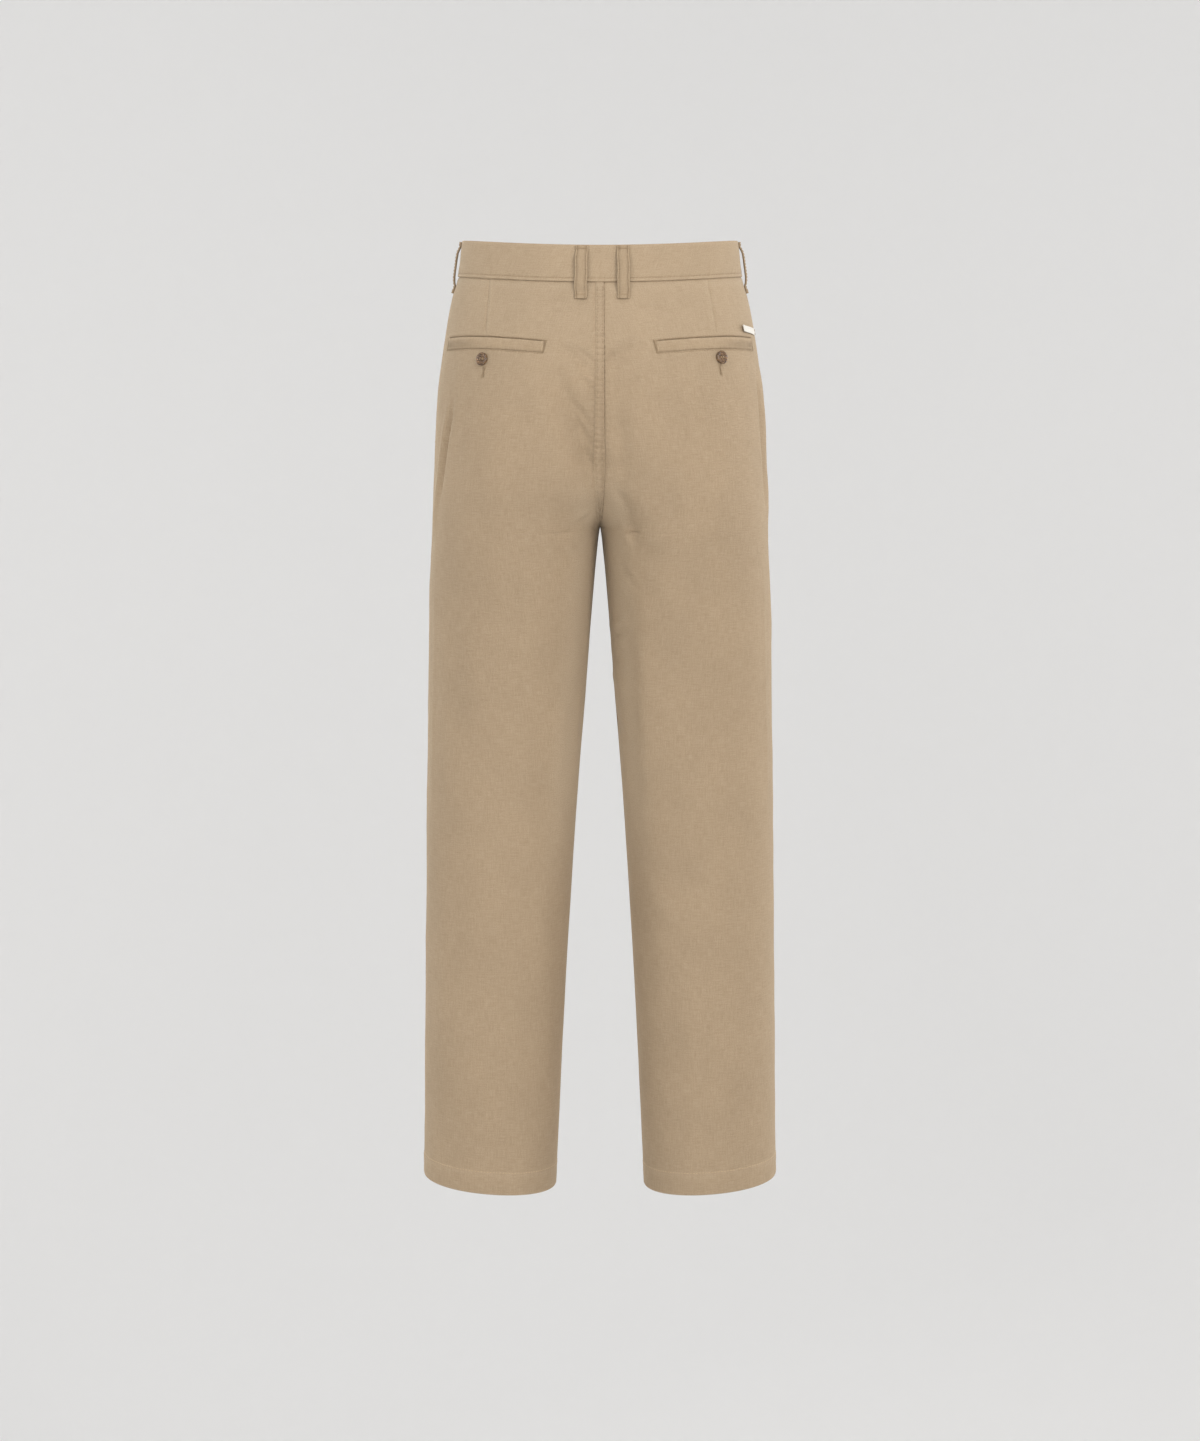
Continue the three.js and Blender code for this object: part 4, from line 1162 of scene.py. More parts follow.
def add_panel(panel, side, name):
    """One back or front panel, as a thin shell turned in at its seams and hem."""
    cloth = bpy.context.scene.chino_cloth
    thick = cloth.thickness / MM
    back = panel == "back"
    sign = 1 if back else -1
    rows = np.concatenate([steps_between(TRUNK_ROWS), steps_between(LEG_ROWS)[1:-1]])
    rows = np.concatenate([rows, [HEM + edge[0] for edge in HEM_EDGE]])
    turned_out = np.zeros(len(rows))
    turned_in = np.zeros(len(rows))
    turned_out[-len(HEM_EDGE):] = [edge[1] for edge in HEM_EDGE]
    turned_in[-len(HEM_EDGE):] = [edge[2] for edge in HEM_EDGE]
    start = SEAM_GAP / 2 + (SIDE_SEAM if back else -SIDE_SEAM)
    reach = FORM.half_at(rows) - start - (0 if back else mouth_width(rows))
    away = panel_stations(reach, DENSE[panel])
    share = 1 - away / reach[:, None]
    rise = (rows - FORK) / (SEAT - FORK)
    ends = np.where((rise > 0) & (rise < 1), FORK + (SEAT - FORK) * rise * rise, rows)
    level = rows[:, None] + (ends - rows)[:, None] * share ** 2
    whole = FORM.half_at(level)
    cut_here = 0 if back else mouth_width(level)
    lap = (fell_reach(level) if back else fly_reach(level)) if side > 0 else 0 * level
    stop = np.where(level <= FORK + 0.01, SEAM_GAP / 2, 0)
    here = whole - stop - start - cut_here
    distance = start + cut_here + here * share
    # The overlap takes the stations nearest the centre past it.
    stretch = np.clip(1 - away / SEAM_ZONE, 0, 1)
    distance = distance + lap * stretch
    length = sign * distance
    point, normal, across = FORM.place(side, level, length)
    lift = creases(side, level, length, across) + turned_out[:, None]
    top = -1.3 * smooth(-41.5, -39, level)
    edge = whole + lap - distance
    lap_edge = -0.5 * np.exp(-(edge / 0.7) ** 2) * (lap > 0.5)
    lift = lift + top + lap_edge
    hem = smooth(HEM + HEM_DEPTH + 1.5, HEM + HEM_DEPTH - 0.5, level)
    depth = thick + (HEM_THICK - thick) * hem
    mouth = distance - start - cut_here
    folded = 0 if back else 0.9 * np.exp(-(mouth / 8) ** 4) * smooth(2, 10, cut_here)
    rounded = 0 if back else -0.5 * np.exp(-(mouth / 0.8) ** 2) * smooth(2, 10, cut_here)
    outer = point + normal * (lift + rounded)[..., None]
    inner = point + normal * (lift - depth - folded + turned_in[:, None])[..., None]
    points, faces = shell(outer, inner)
    grain = grain_of(side * length, level)
    wear_and_shading = panel_tone(side, level, length, whole - distance, across, None if back else mouth,
                     cut_here)
    return add_piece(f"{panel}_panel_{name}", points, faces, twill_material(),
                     np.tile(grain, (2, 1)), np.tile(wear_and_shading, 2), node=f"{panel}_{name}")


def lining_sheet(name, side, levels, bounds, outs, material, node):
    """A thin piece of cloth inside the garment, closed all round."""
    rows = levels[:, None]
    shares = np.linspace(0, 1, 25)[None]
    first, last = (np.asarray(bound(rows), float) for bound in bounds)
    length = first + (last - first) * shares
    level = np.broadcast_to(rows, length.shape)
    grids = []
    for out in outs:
        point, normal, _ = FORM.place(side, level, length)
        grids.append(point + normal * out(level, length, shares)[..., None])
    points, faces = shell(*grids)
    return add_piece(name, points, faces, material, np.tile(grain_of(length, level), (2, 1)),
                     node=node)


def hang(depth, top, level):
    """How deep a bag hangs, clear of the cloth below its top."""
    return -depth - BAG_HANG["clear"] * smooth(0, BAG_HANG["over"], top - level)


def add_front_pocket(side, name):
    """The facing behind the slanted mouth, and the bag that hangs from the band."""
    rows = steps_between([(-BAND_HEIGHT - SEAM_GAP, FACING_BOTTOM, 2.4)])

    def face(level, length, shares):
        deep = smooth(0, 1, (SIDE_SEAM - length) / np.maximum(mouth_width(level), 1))
        return -0.25 - 1.75 * deep - 1.0 * np.exp(-((SIDE_SEAM - length) / 1.5) ** 2)

    facing = lining_sheet(
        f"hip_pocket_facing_{name}", side, rows,
        (lambda z: SIDE_SEAM - SEAM_GAP + 0 * z, lambda z: SIDE_SEAM - mouth_width(z) - FACING_UNDER),
        (face, lambda *at: face(*at) - 1.2), twill_material(), f"hip_facing_{name}")
    bag = FRONT_BAG
    rows = steps_between([(bag["top"], bag["bottom"], 4)])

    def taper(z):
        fall = 1 - smooth(bag["bottom"], FRONT_BAG_TAPER["from"], z)
        return FRONT_BAG_TAPER["width"] * fall ** 2

    def bag_out(level, length, shares):
        soft = 1.1 * np.sin(level / 17 + side) * np.sin(math.pi * shares) * smooth(-60, -120, level)
        return hang(bag["depth"], bag["top"], level) - 0.6 + 0.5 * soft

    hung = lining_sheet(
        f"front_bag_{name}", side, rows,
        (lambda z: SIDE_SEAM - bag["inset"] - taper(z), lambda z: SIDE_SEAM - bag["reach"] + taper(z)),
        (bag_out, lambda *at: bag_out(*at) - BAG_THICK), pocketing_material(),
        f"front_pocket_bag_{name}")
    return facing, hung


def add_back_bag(side, name):
    """The bag of a back pocket."""
    bag = BACK_BAG
    rows = steps_between([(bag["top"], bag["bottom"], 4)])

    def out(level, length, shares):
        soft = 0.6 * np.sin(level / 15 + side) * np.sin(math.pi * shares) * smooth(-60, -120, level)
        return hang(bag["depth"] + 1.2, bag["top"], level) + soft

    return lining_sheet(
        f"back_bag_{name}", side, rows,
        (lambda z: FORM.half_at(z) - bag["start"],
         lambda z: FORM.half_at(z) - bag["start"] - bag["length"]),
        (out, lambda *at: out(*at) - BAG_THICK), pocketing_material(),
        f"back_pocket_bag_{name}")


# Round the welt, the loop and the label in section
WELT_PROFILE = np.array([
    (0.3, -1.4), (-0.1, 0.2), (-0.7, 1), (-1.6, 1.35), (-3.5, 1.45), (-6.5, 1.4), (-9.5, 1.15),
    (-11.4, 0.75), (-12.6, 0.2), (-13, -0.5), (-12.4, -1), (-9, -0.9), (-5, -0.9), (-1.4, -1.2),
])
LOOP_SECTION = np.array([
    (-1, 0.5), (-0.97, 0.8), (-0.9, 1), (-0.78, 0.98), (-0.7, 0.84), (-0.62, 0.98), (-0.3, 1),
    (0, 1.02), (0.3, 1), (0.62, 0.98), (0.7, 0.84), (0.78, 0.98), (0.9, 1), (0.97, 0.8), (1, 0.5),
    (0.97, 0.2), (0.9, 0), (0.3, 0), (-0.3, 0), (-0.9, 0), (-0.97, 0.2), (-1, 0.3),
])
LABEL_SECTION = np.array([
    (0, 0.1), (-0.25, 0.75), (-0.9, 1), (-2.6, 1), (-4.8, 1), (-6.5, 1), (-7.15, 0.75), (-7.4, 0.1),
    (-7.15, -0.1), (-5, 0), (-2.5, 0), (-0.25, -0.1),
])


def add_welt(side, name):
    """The folded welt of a back pocket, proud at the slit and sewn flat below."""
    shares = np.linspace(0, 1, 93)[:, None]
    drop, out = WELT_PROFILE.T[:, None]
    level = welt_line(shares) + drop
    half = FORM.half_at(level)
    length = half - WELT["start"] - WELT["length"] * shares
    point, normal, across = FORM.place(side, level, length)
    ends = np.exp(-(np.minimum(shares, 1 - shares) * WELT["length"] / 1.2) ** 2)
    bed = creases(side, level, length, across) - welt_bed(level, half - np.abs(length))
    lift = bed + np.where(out > 0, out * (1 - 0.7 * ends), out)
    lift = lift + 0.12 * np.sin(2 * math.pi * shares * 17 + side) * (out > 0)
    rings = point + normal * lift[..., None]
    points, faces = tube(rings)
    grain = grain_of(level, length)
    # Paler at the top fold for wear; painted shade along the slit above it and under the welt's foot;
    # darker towards the outer end
    wear_and_shading = 0.4 * groove(drop + 0.9, 0.9, 1) - groove(drop - 0.2, 0.7, 0.3)
    wear_and_shading = wear_and_shading - groove(drop + 12.6, 0.8, 0.1) - groove(drop + 8, 4, 0.3) * smooth(0.45, 0.8, shares)
    stacked = 0.5 + 0.5 * np.sin(2 * math.pi * drop / 3.4)
    wear_and_shading = wear_and_shading - 0.16 * stacked * smooth(0.84, 0.95, shares) * (drop < -1)
    return add_piece(f"pocket_welt_{name}", points, faces, twill_material("double"), grain,
                     np.clip(wear_and_shading, -1, 1).ravel(), node=f"back_welt_{name}")


# Band and loops

# Round the band in section: drop and distance out
BAND_PROFILE = (
    [(0.9, 1), (0.3, 0.75), (0, 0.2), (0, -0.8), (0.3, -1.35), (0.9, -1.6)]
    + [(drop, -1.6) for drop in range(4, 38, 6)]
    + [(38.6, -1.6), (39.2, -1.3), (39.5, -0.7), (39.5, 0.2), (39.2, 0.75), (38.6, 1)]
    + [(drop, 1) for drop in (37.6, 36.7, 36.1, 35.6, 35.1, 34.5, 33.6)]
    + [(drop, 1) for drop in range(32, 3, -2)]
)
# The row of stitches, how far the left end laps over, and where the right end steps under it
BAND_STITCH = 35.6
BAND_UNDERLAP = 38
BAND_STEP = (18, 3)


def band_place(level, along):
    """Side and length from the side at a distance along the band from the centre front."""
    half = FORM.half_at(level)
    whole = 4 * half
    first = along < 2 * half
    second = (along >= 2 * half) & (along < whole)
    side = np.where(second, -1, 1)
    length = np.where(first, along - half, np.where(second, 3 * half - along, along - whole - half))
    return side, length


def band_point(level, along, out):
    """Points and normals of the band's face, moved out."""
    side, length = band_place(level, along)
    left, left_normal, _ = FORM.place(1, level, length)
    right, right_normal, _ = FORM.place(-1, level, length)
    chosen = (side > 0)[..., None]
    normal = np.where(chosen, left_normal, right_normal)
    return np.where(chosen, left, right) + normal * np.asarray(out)[..., None], normal


def band_relief(drop, along, half):
    """Stitch groove, joins and soft waves of the band."""
    back = np.abs(along - 2 * half)
    joins = groove(back, 1.1, -0.45) + groove(np.abs(back - 131), 1.3, -0.35)
    wave = 0.22 * np.sin(along / 19) * np.sin(drop / 9 + along / 50) + 0.12 * np.sin(along / 5.1)
    row = groove(drop - BAND_STITCH, 0.8, -0.4)
    puckers = 0.2 * np.sin(2 * math.pi * along / 8.5) * groove(drop - BAND_STITCH + 3, 4, 1)
    return joins + wave * smooth(0, 6, drop) * smooth(39.5, 34, drop) + row + puckers


def add_band():
    """The doubled waistband, its left end lapped over its right end."""
    drop, out = np.array(BAND_PROFILE, float).T[:, None]
    level = -drop
    half = FORM.half_at(level)
    shares = np.linspace(0, 1, 461)[:, None]
    along = shares * (4 * half + BAND_UNDERLAP)
    drop, level = (np.broadcast_to(row, along.shape) for row in (drop, level))
    under = smooth(-BAND_STEP[0], -BAND_STEP[1], along - 4 * half)
    relief = band_relief(drop, along, half) * (out > 0.5)
    ends = np.exp(-(along / 1.1) ** 2) * 0.7
    lift = out * (1 - ends) + relief
    lift = lift - under * (BAND_THICK + SEAM_GAP)
    points, _ = band_point(level, along, lift)
    points, faces = tube(points)
    grain = grain_of(along, level)
    wear_and_shading = 0.3 + 0.3 * groove(drop, 1.2, 1) + 0.3 * groove(drop - 38, 1, 1)
    # Painted shade in the stitch row's groove, round the band's foot and in the centre back join;
    # darker lines above the darts
    wear_and_shading = wear_and_shading - (groove(drop - BAND_STITCH, 0.8, 0.3) + groove(drop - 39.5, 0.8, 0.3)) * (out > 0)
    back_run = np.abs(along - 2 * half)
    tails = smooth(14, 22, drop) * groove(back_run - 125, 1, 0.22)
    wear_and_shading = wear_and_shading - tails * (out > 0.5) - groove(back_run, 1, 0.12) * (out > 0.5)
    return add_piece("waist_band", points, faces, twill_material("double"), grain,
                     np.clip(wear_and_shading, -1, 1).ravel(), node="waistband")


def add_band_sewing(sewing):
    """The edge stitching along the band's foot, and round its closing end."""
    half = float(FORM.half_at(-BAND_STITCH))
    along = np.linspace(3.5, 4 * half - 4, 1400)
    level = np.full_like(along, -BAND_STITCH)
    out = BAND_PROUD + band_relief(-level, along, half) + 0.12
    line, normals = band_point(level, along, out)
    end_level = np.linspace(-4, -BAND_STITCH, 60)
    end_line, end_normals = band_point(end_level, np.full_like(end_level, 3.5),
                                       np.full_like(end_level, BAND_PROUD + 0.15))
    return add_sewing("band_stitching", [stitches(line, normals, sewing),
                                         stitches(end_line, end_normals, sewing)])


LOOP_WIDTH = 13.5
LOOP_THICK = 1.7
# name, side, edge it is set out from, place across, lean, and how much closer it lies
LOOPS = (
    ("back_left", 1, "back", 19.4, 1, -2.8), ("back_right", -1, "back", 24.6, 0.4, -2.4),
    ("side_left", 1, "side", 0, 0, -2.4), ("side_right", -1, "side", 0, 0, -2),
    ("front_left", 1, "front", 64, 0, -1.4), ("front_right", -1, "front", 64, 0, -1.4),
)
# From the loop's top to its foot: drop and distance out
LOOP_PROFILE = np.array([
    (1.5, 1.4), (7, 1.4), (10, 4.2), (14, 6.2), (21, 6.8), (32, 6.8), (40, 6.4), (46, 4.2),
    (50, 0.6), (58, 0.6),
])


def loop_path(slack):
    """The side view of a loop from top to foot, as drop and distance out, smoothed."""
    out = LOOP_PROFILE[:, 1] + slack * np.maximum(0, (LOOP_PROFILE[:, 1] - 1.4) / 5.4)
    path = np.stack([LOOP_PROFILE[:, 0], out], axis=-1)
    run = np.concatenate([[0], np.hypot(*np.diff(path, axis=0).T).cumsum()])
    goal = np.linspace(0, run[-1], 85)
    path = np.stack([np.interp(goal, run, path[:, k]) for k in range(2)], axis=-1)
    for _ in range(7):
        path[1:-1] = (path[:-2] + 2 * path[1:-1] + path[2:]) / 4
    return path


def loop_start(place, side, across, lean, level):
    """The length from the side of a loop's middle line, level by level."""
    if place == "side":
        return np.zeros_like(level)
    sign = 1 if place == "back" else -1
    flat = np.array([FORM.length_at(z, across + lean * (-z / BAND_HEIGHT))
                     for z in np.ravel(level)])
    return sign * flat.reshape(np.shape(level))


def add_loop(name, side, place, across, lean, slack, sewing):
    """A belt loop: a folded strip, its ends turned under. Gives the stitches of both edges."""
    path = loop_path(slack)
    tangent = np.gradient(path, axis=0)
    tangent /= np.linalg.norm(tangent, axis=1, keepdims=True)
    # The ends are turned under, so the strip is thicker there.
    steps = np.arange(len(path))
    ends = np.exp(-(steps / 5) ** 2) + np.exp(-((len(path) - 1 - steps) / 7) ** 2)
    half_width = LOOP_WIDTH / 2
    wide, share = LOOP_SECTION.T[:, None]
    wide = wide * half_width
    high = share * (LOOP_THICK + 0.9 * ends)[:, None]
    drop = path[:, :1] - tangent[:, 1:] * high
    out = path[:, 1:] + tangent[:, :1] * high
    middle = loop_start(place, side, across, lean, -path[:, 0])[:, None]
    edge = np.exp(-((len(path) - 1 - steps) / 1.6) ** 2)[:, None]
    wobble = 0.25 * np.sin(steps / 6.0 + side)[:, None]
    length = middle + wide * (1 - 0.05 * edge) + wobble
    point, normal, _ = FORM.place(side, -drop, length)
    rings = point + normal * (out - 0.25 * (wide / half_width) ** 2)[..., None]
    points, faces = tube(rings)
    grain = grain_of(wide, -drop)
    # Paler at the folded edges for wear; painted shade in the stitch grooves and down the loop's sides
    wear_and_shading = 0.3 * groove(np.abs(wide) - 0.88 * half_width, 0.7, 1)
    wear_and_shading = wear_and_shading - groove(np.abs(wide) - 0.7 * half_width, 0.6, 0.42)
    side_shade = (share < 0.85) & (np.abs(wide) > 0.85 * half_width)
    wear_and_shading = np.broadcast_to(wear_and_shading - 0.2 * side_shade, drop.shape)
    add_piece(f"loop_{name}", points, faces, twill_material("double"), grain,
              np.clip(wear_and_shading, -1, 1).ravel(), node=f"belt_loop_{name}")
    rows = []
    inner = slice(3, -3)
    for edge_side in (-1, 1):
        lift = LOOP_THICK + 0.9 * ends - 0.05
        row_drop = (path[:, 0] - tangent[:, 1] * lift)[inner]
        row_out = (path[:, 1] + tangent[:, 0] * lift)[inner]
        row_length = middle[inner, 0] + edge_side * 0.7 * half_width + wobble[inner, 0]
        point, normal, _ = FORM.place(side, -row_drop, row_length)
        rows.append(stitches(point + normal * row_out[:, None], normal, sewing))
    for end, level in ((4, path[4, 0]), (-7, path[-7, 0])):
        spread = np.linspace(-0.78, 0.78, 16) * half_width
        high_here = path[end, 1] + LOOP_THICK + 0.9 * ends[end]
        centre = middle[end, 0] + spread
        starts, normals, _ = FORM.place(side, -np.full(16, level - 0.7), centre)
        stops, _, _ = FORM.place(side, -np.full(16, level + 0.7), centre + 0.15)
        rows.append(threads(starts + normals * high_here, stops + normals * high_here, normals,
                            sewing.thread / MM * 0.5))
    return rows


# Fly

# First and last place across, top and bottom level, depth behind the front, thickness
FLY = {
    "facing": (0.5, 36, BELOW_BAND, -212, 2.36, 1),
    "zip": (-14, 20, -61, -206, 5.05, 0.8),
    "shield": (-16, 36, BELOW_BAND, -216, 8.45, 1),
}
ZIP_CENTRE = 3
ZIP_TOOTH = 2.2


def fly_point(across, level, out):
    """Points behind the fly, followed across the centre plane."""
    away = np.maximum(np.abs(across), SEAM_GAP / 2)
    length = -np.vectorize(FORM.length_at)(level, away)
    point, normal, _ = FORM.place(1, level, length)
    point = point.copy()
    point[..., 0] = across
    flat = normal * [0, 1, 1]
    flat /= np.linalg.norm(flat, axis=-1, keepdims=True)
    return point + flat * np.asarray(out)[..., None], flat


def fly_sheet(name, key, material, node):
    """A strip of cloth or tape behind the fly, with a rounded foot."""
    first, last, top, bottom, depth, thick = FLY[key]
    level = steps_between([(top, bottom, 3)])[:, None]
    across = np.linspace(first, last, 13)[None]
    level, across = np.broadcast_arrays(level, across)
    trim = smooth(bottom + 26, bottom, level) * 0.5 * (last - first) if key == "facing" else 0 * level
    across = np.minimum(across, last - trim)
    grids = []
    for out in (-depth, -depth - thick):
        grids.append(fly_point(across, level, np.full(level.shape, out))[0])
    points, faces = shell(*grids)
    return add_piece(name, points, faces, material, np.tile(grain_of(across, level), (2, 1)),
                     node=node)


def add_zip_teeth():
    """The closed chain of the zip: stamped teeth that mesh along the middle."""
    _, _, top, bottom, depth, tape = FLY["zip"]
    count = int((top - bottom) / ZIP_TOOTH)
    places = top - 1 - ZIP_TOOTH * np.arange(count)
    half = np.where(np.arange(count) % 2, 0.7, -0.7)
    corners = np.array([(x, u, d) for d in (0, 1) for u in (-1, 1) for x in (-1, 1)], float)
    points = []
    for level, sway in zip(places, half):
        across = ZIP_CENTRE + sway + corners[:, 0] * 2.2
        heights = level + corners[:, 1] * ZIP_TOOTH * 0.22
        out = -depth - tape - 0.05 - corners[:, 2] * 1.9
        points.append(fly_point(across, heights, out)[0])
    box = np.array([(0, 1, 3, 2), (4, 6, 7, 5), (0, 4, 5, 1), (2, 3, 7, 6), (0, 2, 6, 4), (1, 5, 7, 3)])
    faces = (box[None] + 8 * np.arange(count)[:, None, None]).reshape(-1, 4)
    points = np.concatenate(points)
    add_piece("zip_teeth", points, facing_out(points, faces), brass_material(), sharp=30)


# Buttons

# Radius, thickness, depth of the dish and width of the rim
POCKET_BUTTON = (7.2, 3, 0.7, 1.9)
BAND_BUTTON = (8.6, 3.4, 0.8, 2.2)
# name, solid, side, 1 for the back or -1 for the front, place across, level, how far the cloth
# stands out there, and make
BUTTONS = (
    ("pocket_button_left", "back_button_left", 1, 1, 127, -128.6, 0, POCKET_BUTTON),
    ("pocket_button_right", "back_button_right", -1, 1, 131, -126.8, 0, POCKET_BUTTON),
    ("band_button", "waist_button", 1, -1, 11, -20.5, BAND_PROUD, BAND_BUTTON),
)
BUTTON_SIDES = 72
DISH_RINGS = 26


def button_rings(radius, thick, dish, rim):
    """A turned button: rounded edge, raised rim, dished middle and four drilled holes."""
    edge = 0.28 * thick
    inside = np.linspace(0.02, radius - rim - dish, DISH_RINGS)
    slope = radius - rim - dish + dish * np.linspace(0.15, 1, 5)
    heights = [thick - dish] * len(inside)
    heights += list(thick - dish + dish * smooth(0, 1, np.linspace(0.15, 1, 5)))
    radii = list(inside) + list(slope)
    flat = np.linspace(radius - rim + 0.2, radius - edge, 5)
    radii += list(flat)
    heights += [thick] * len(flat)
    for turn in np.linspace(0.25, 1, 4) * math.pi / 2:
        radii.append(radius - edge + edge * math.sin(turn))
        heights.append(thick - edge + edge * math.cos(turn))
    for turn in np.linspace(0, 1, 5) * math.pi / 2:
        radii.append(radius - edge + edge * math.cos(turn))
        heights.append(edge - edge * math.sin(turn))
    radii += [radius * 0.5, 0.02]
    heights += [0, 0]
    return np.array(radii), np.array(heights)


def add_button(name, make, seat, normal, node, sewing):
    """A four-hole button, seated on the cloth. Gives its thread."""
    radius, thick, dish, _ = make
    radii, heights = button_rings(*make)
    turns = np.arange(BUTTON_SIDES) * 2 * math.pi / BUTTON_SIDES
    x = radii[:, None] * np.cos(turns)
    y = radii[:, None] * np.sin(turns)
    z = heights[:, None] + 0 * x
    apart, hole = 0.2 * radius, 0.105 * radius
    front = (np.arange(len(radii)) < DISH_RINGS)[:, None]
    for sx in (-1, 1):
        for sy in (-1, 1):
            away = np.hypot(x - sx * apart, y - sy * apart)
            drilled = 1 - smooth(hole * 0.75, hole * 1.2, away)
            z = z - np.where(front, (thick - dish - 0.4) * drilled, 0)
    up = Vector(normal).normalized()
    level_axis = Vector((0, 0, 1)) - up * up.z
    level_axis.normalize()
    side_axis = level_axis.cross(up)
    axes = np.array([side_axis, level_axis, up])
    local = np.stack([x, y, z], axis=-1)
    points, faces = tube(local @ axes + np.array(seat))
    add_piece(name, points, faces, horn_material(), sharp=50, node=node)
    height = thick - dish
    runs = []
    for sx, sy, ex, ey in ((-1, -1, -1, 1), (1, -1, 1, 1)):
        for shift in (-0.25, 0.05, 0.3):
            runs.append(((sx * apart + shift * sx, sy * apart * 1.05, height + 0.12),
                         (ex * apart + shift * sx, ey * apart * 1.05, height + 0.12)))
    starts = np.array([r[0] for r in runs]) @ axes + np.array(seat)
    ends = np.array([r[1] for r in runs]) @ axes + np.array(seat)
    ups = np.tile(np.array(up), (len(runs), 1))
    turns = np.linspace(0, 2 * math.pi, 9)[:-1]
    outward = np.array([(math.cos(turn), math.sin(turn), 0) for turn in turns])
    shank_starts = (outward * 1.3 + [0, 0, -0.9]) @ axes + np.array(seat)
    shank_ends = (outward * 1.3 + [0, 0, 0.2]) @ axes + np.array(seat)
    return [threads(starts, ends, ups, sewing.thread / MM * 0.55),
            threads(shank_starts, shank_ends, outward @ axes, sewing.thread / MM * 0.6)]


# Stage

# The camera as it was fitted to the photograph's outline
CAMERA_PLACE = (0, 3300, -97)
CAMERA_TILT = 7.6
FOCAL_PIXELS = 2932.7
PICTURE_HEIGHT = 1441
SENSOR = 36
# In metres: the floor's height, the radius of its flat part, the curve up and the wall's top
FLOOR = -3.4
BOWL = 2.9
BOWL_CURVE = 2.5
WALL_TOP = 3.6
FLOOR_SIDES = 96
AIR_COLOUR = "f6f6f6"
AIR_STRENGTH = 0.66


def add_camera():
    """The camera at the photograph's place: level with the hips, looking slightly down."""
    data = bpy.data.cameras.new("camera")
    data.sensor_width = SENSOR
    data.sensor_fit = "AUTO"
    data.lens = FOCAL_PIXELS / PICTURE_HEIGHT * SENSOR
    camera = put("camera", data)
    camera.location = [c * MM for c in CAMERA_PLACE]
    camera.rotation_euler = (math.radians(90 - CAMERA_TILT), 0, math.pi)
    bpy.context.scene.camera = camera


def add_floor():
    """A pale floor that curves up into a wall all round."""
    turns = np.linspace(0, math.pi / 2, 17)
    radii = np.concatenate([[0.02, 1, 2], BOWL + BOWL_CURVE * np.sin(turns), [BOWL + BOWL_CURVE]])
    heights = np.concatenate([[FLOOR] * 3, FLOOR + BOWL_CURVE * (1 - np.cos(turns)), [WALL_TOP]])
    around = np.arange(FLOOR_SIDES) * 2 * math.pi / FLOOR_SIDES
    x = radii[:, None] * np.cos(around)
    y = radii[:, None] * np.sin(around)
    points = np.stack([x, y, heights[:, None] + 0 * x], axis=-1)
    faces = skin_faces(np.arange(x.size).reshape(x.shape))
    mesh = bpy.data.meshes.new("studio_floor")
    mesh.from_pydata(points.reshape(-1, 3).tolist(), [], faces.tolist())
    mesh.materials.append(studio_material())
    mesh.shade_smooth()
    put("studio_floor", mesh)


# name, place in metres, aimed at, width, height, watts, colour
LIGHTS = (
    ("key", (-1.75, 2.6, 1.2), (0, 0, -0.3), 1.1, 1.1, 44, "fffaf4"),
    ("fill", (2.3, 2.7, 0.5), (0, 0, -0.3), 2.0, 2.0, 23, "fffcf7"),
    ("camera_box", (0.1, 4.3, 0.8), (0, 0, -0.2), 2.6, 2.2, 32, "ffffff"),
    ("low", (0.2, 3, -1.9), (0, 0, -0.4), 2, 1.2, 4, "ffffff"),
    ("top", (0, 0.6, 2.6), (0, 0, -0.4), 2.4, 2.4, 15, "ffffff"),
    ("right_rim", (-2.4, -1.0, -0.1), (-0.1, 0, -0.6), 1.0, 2.2, 30, "ffffff"),
    ("left_rim", (2.4, -1.0, 0), (0.1, 0, -0.5), 0.8, 1.8, 18, "ffffff"),
    ("front_fill", (0.9, -2.9, 0.5), (0, 0, -0.5), 2.0, 2.0, 34, "fffaf2"),
)


def add_lights():
    """Large soft lamps, and an even studio air."""
    for name, place, aim, width, height, watts, colour in LIGHTS:
        data = bpy.data.lights.new(name, "AREA")
        data.shape = "RECTANGLE"
        data.size = width
        data.size_y = height
        data.energy = watts
        data.color = linear(colour)
        lamp = put(name, data)
        lamp.location = place
        lamp.rotation_mode = "QUATERNION"
        lamp.rotation_quaternion = (Vector(aim) - Vector(place)).to_track_quat("-Z", "Y")
    world = bpy.data.worlds.new("studio_air")
    world.use_nodes = True
    background = world.node_tree.nodes["Background"]
    background.inputs["Color"].default_value = rgba(linear(AIR_COLOUR))
    background.inputs["Strength"].default_value = AIR_STRENGTH
    bpy.context.scene.world = world


# Operators

class ChinoOperator:
    """What all the operators share."""

    bl_options = {"REGISTER", "UNDO"}


class CHINO_OT_stage(ChinoOperator, bpy.types.Operator):
    """Sets the camera, the floor and the lights"""

    bl_idname = "chino.stage"
    bl_label = "Stage"

    def execute(self, context):
        add_camera()
        add_floor()
        add_lights()
        context.scene.view_settings.view_transform = "Standard"
        return {"FINISHED"}


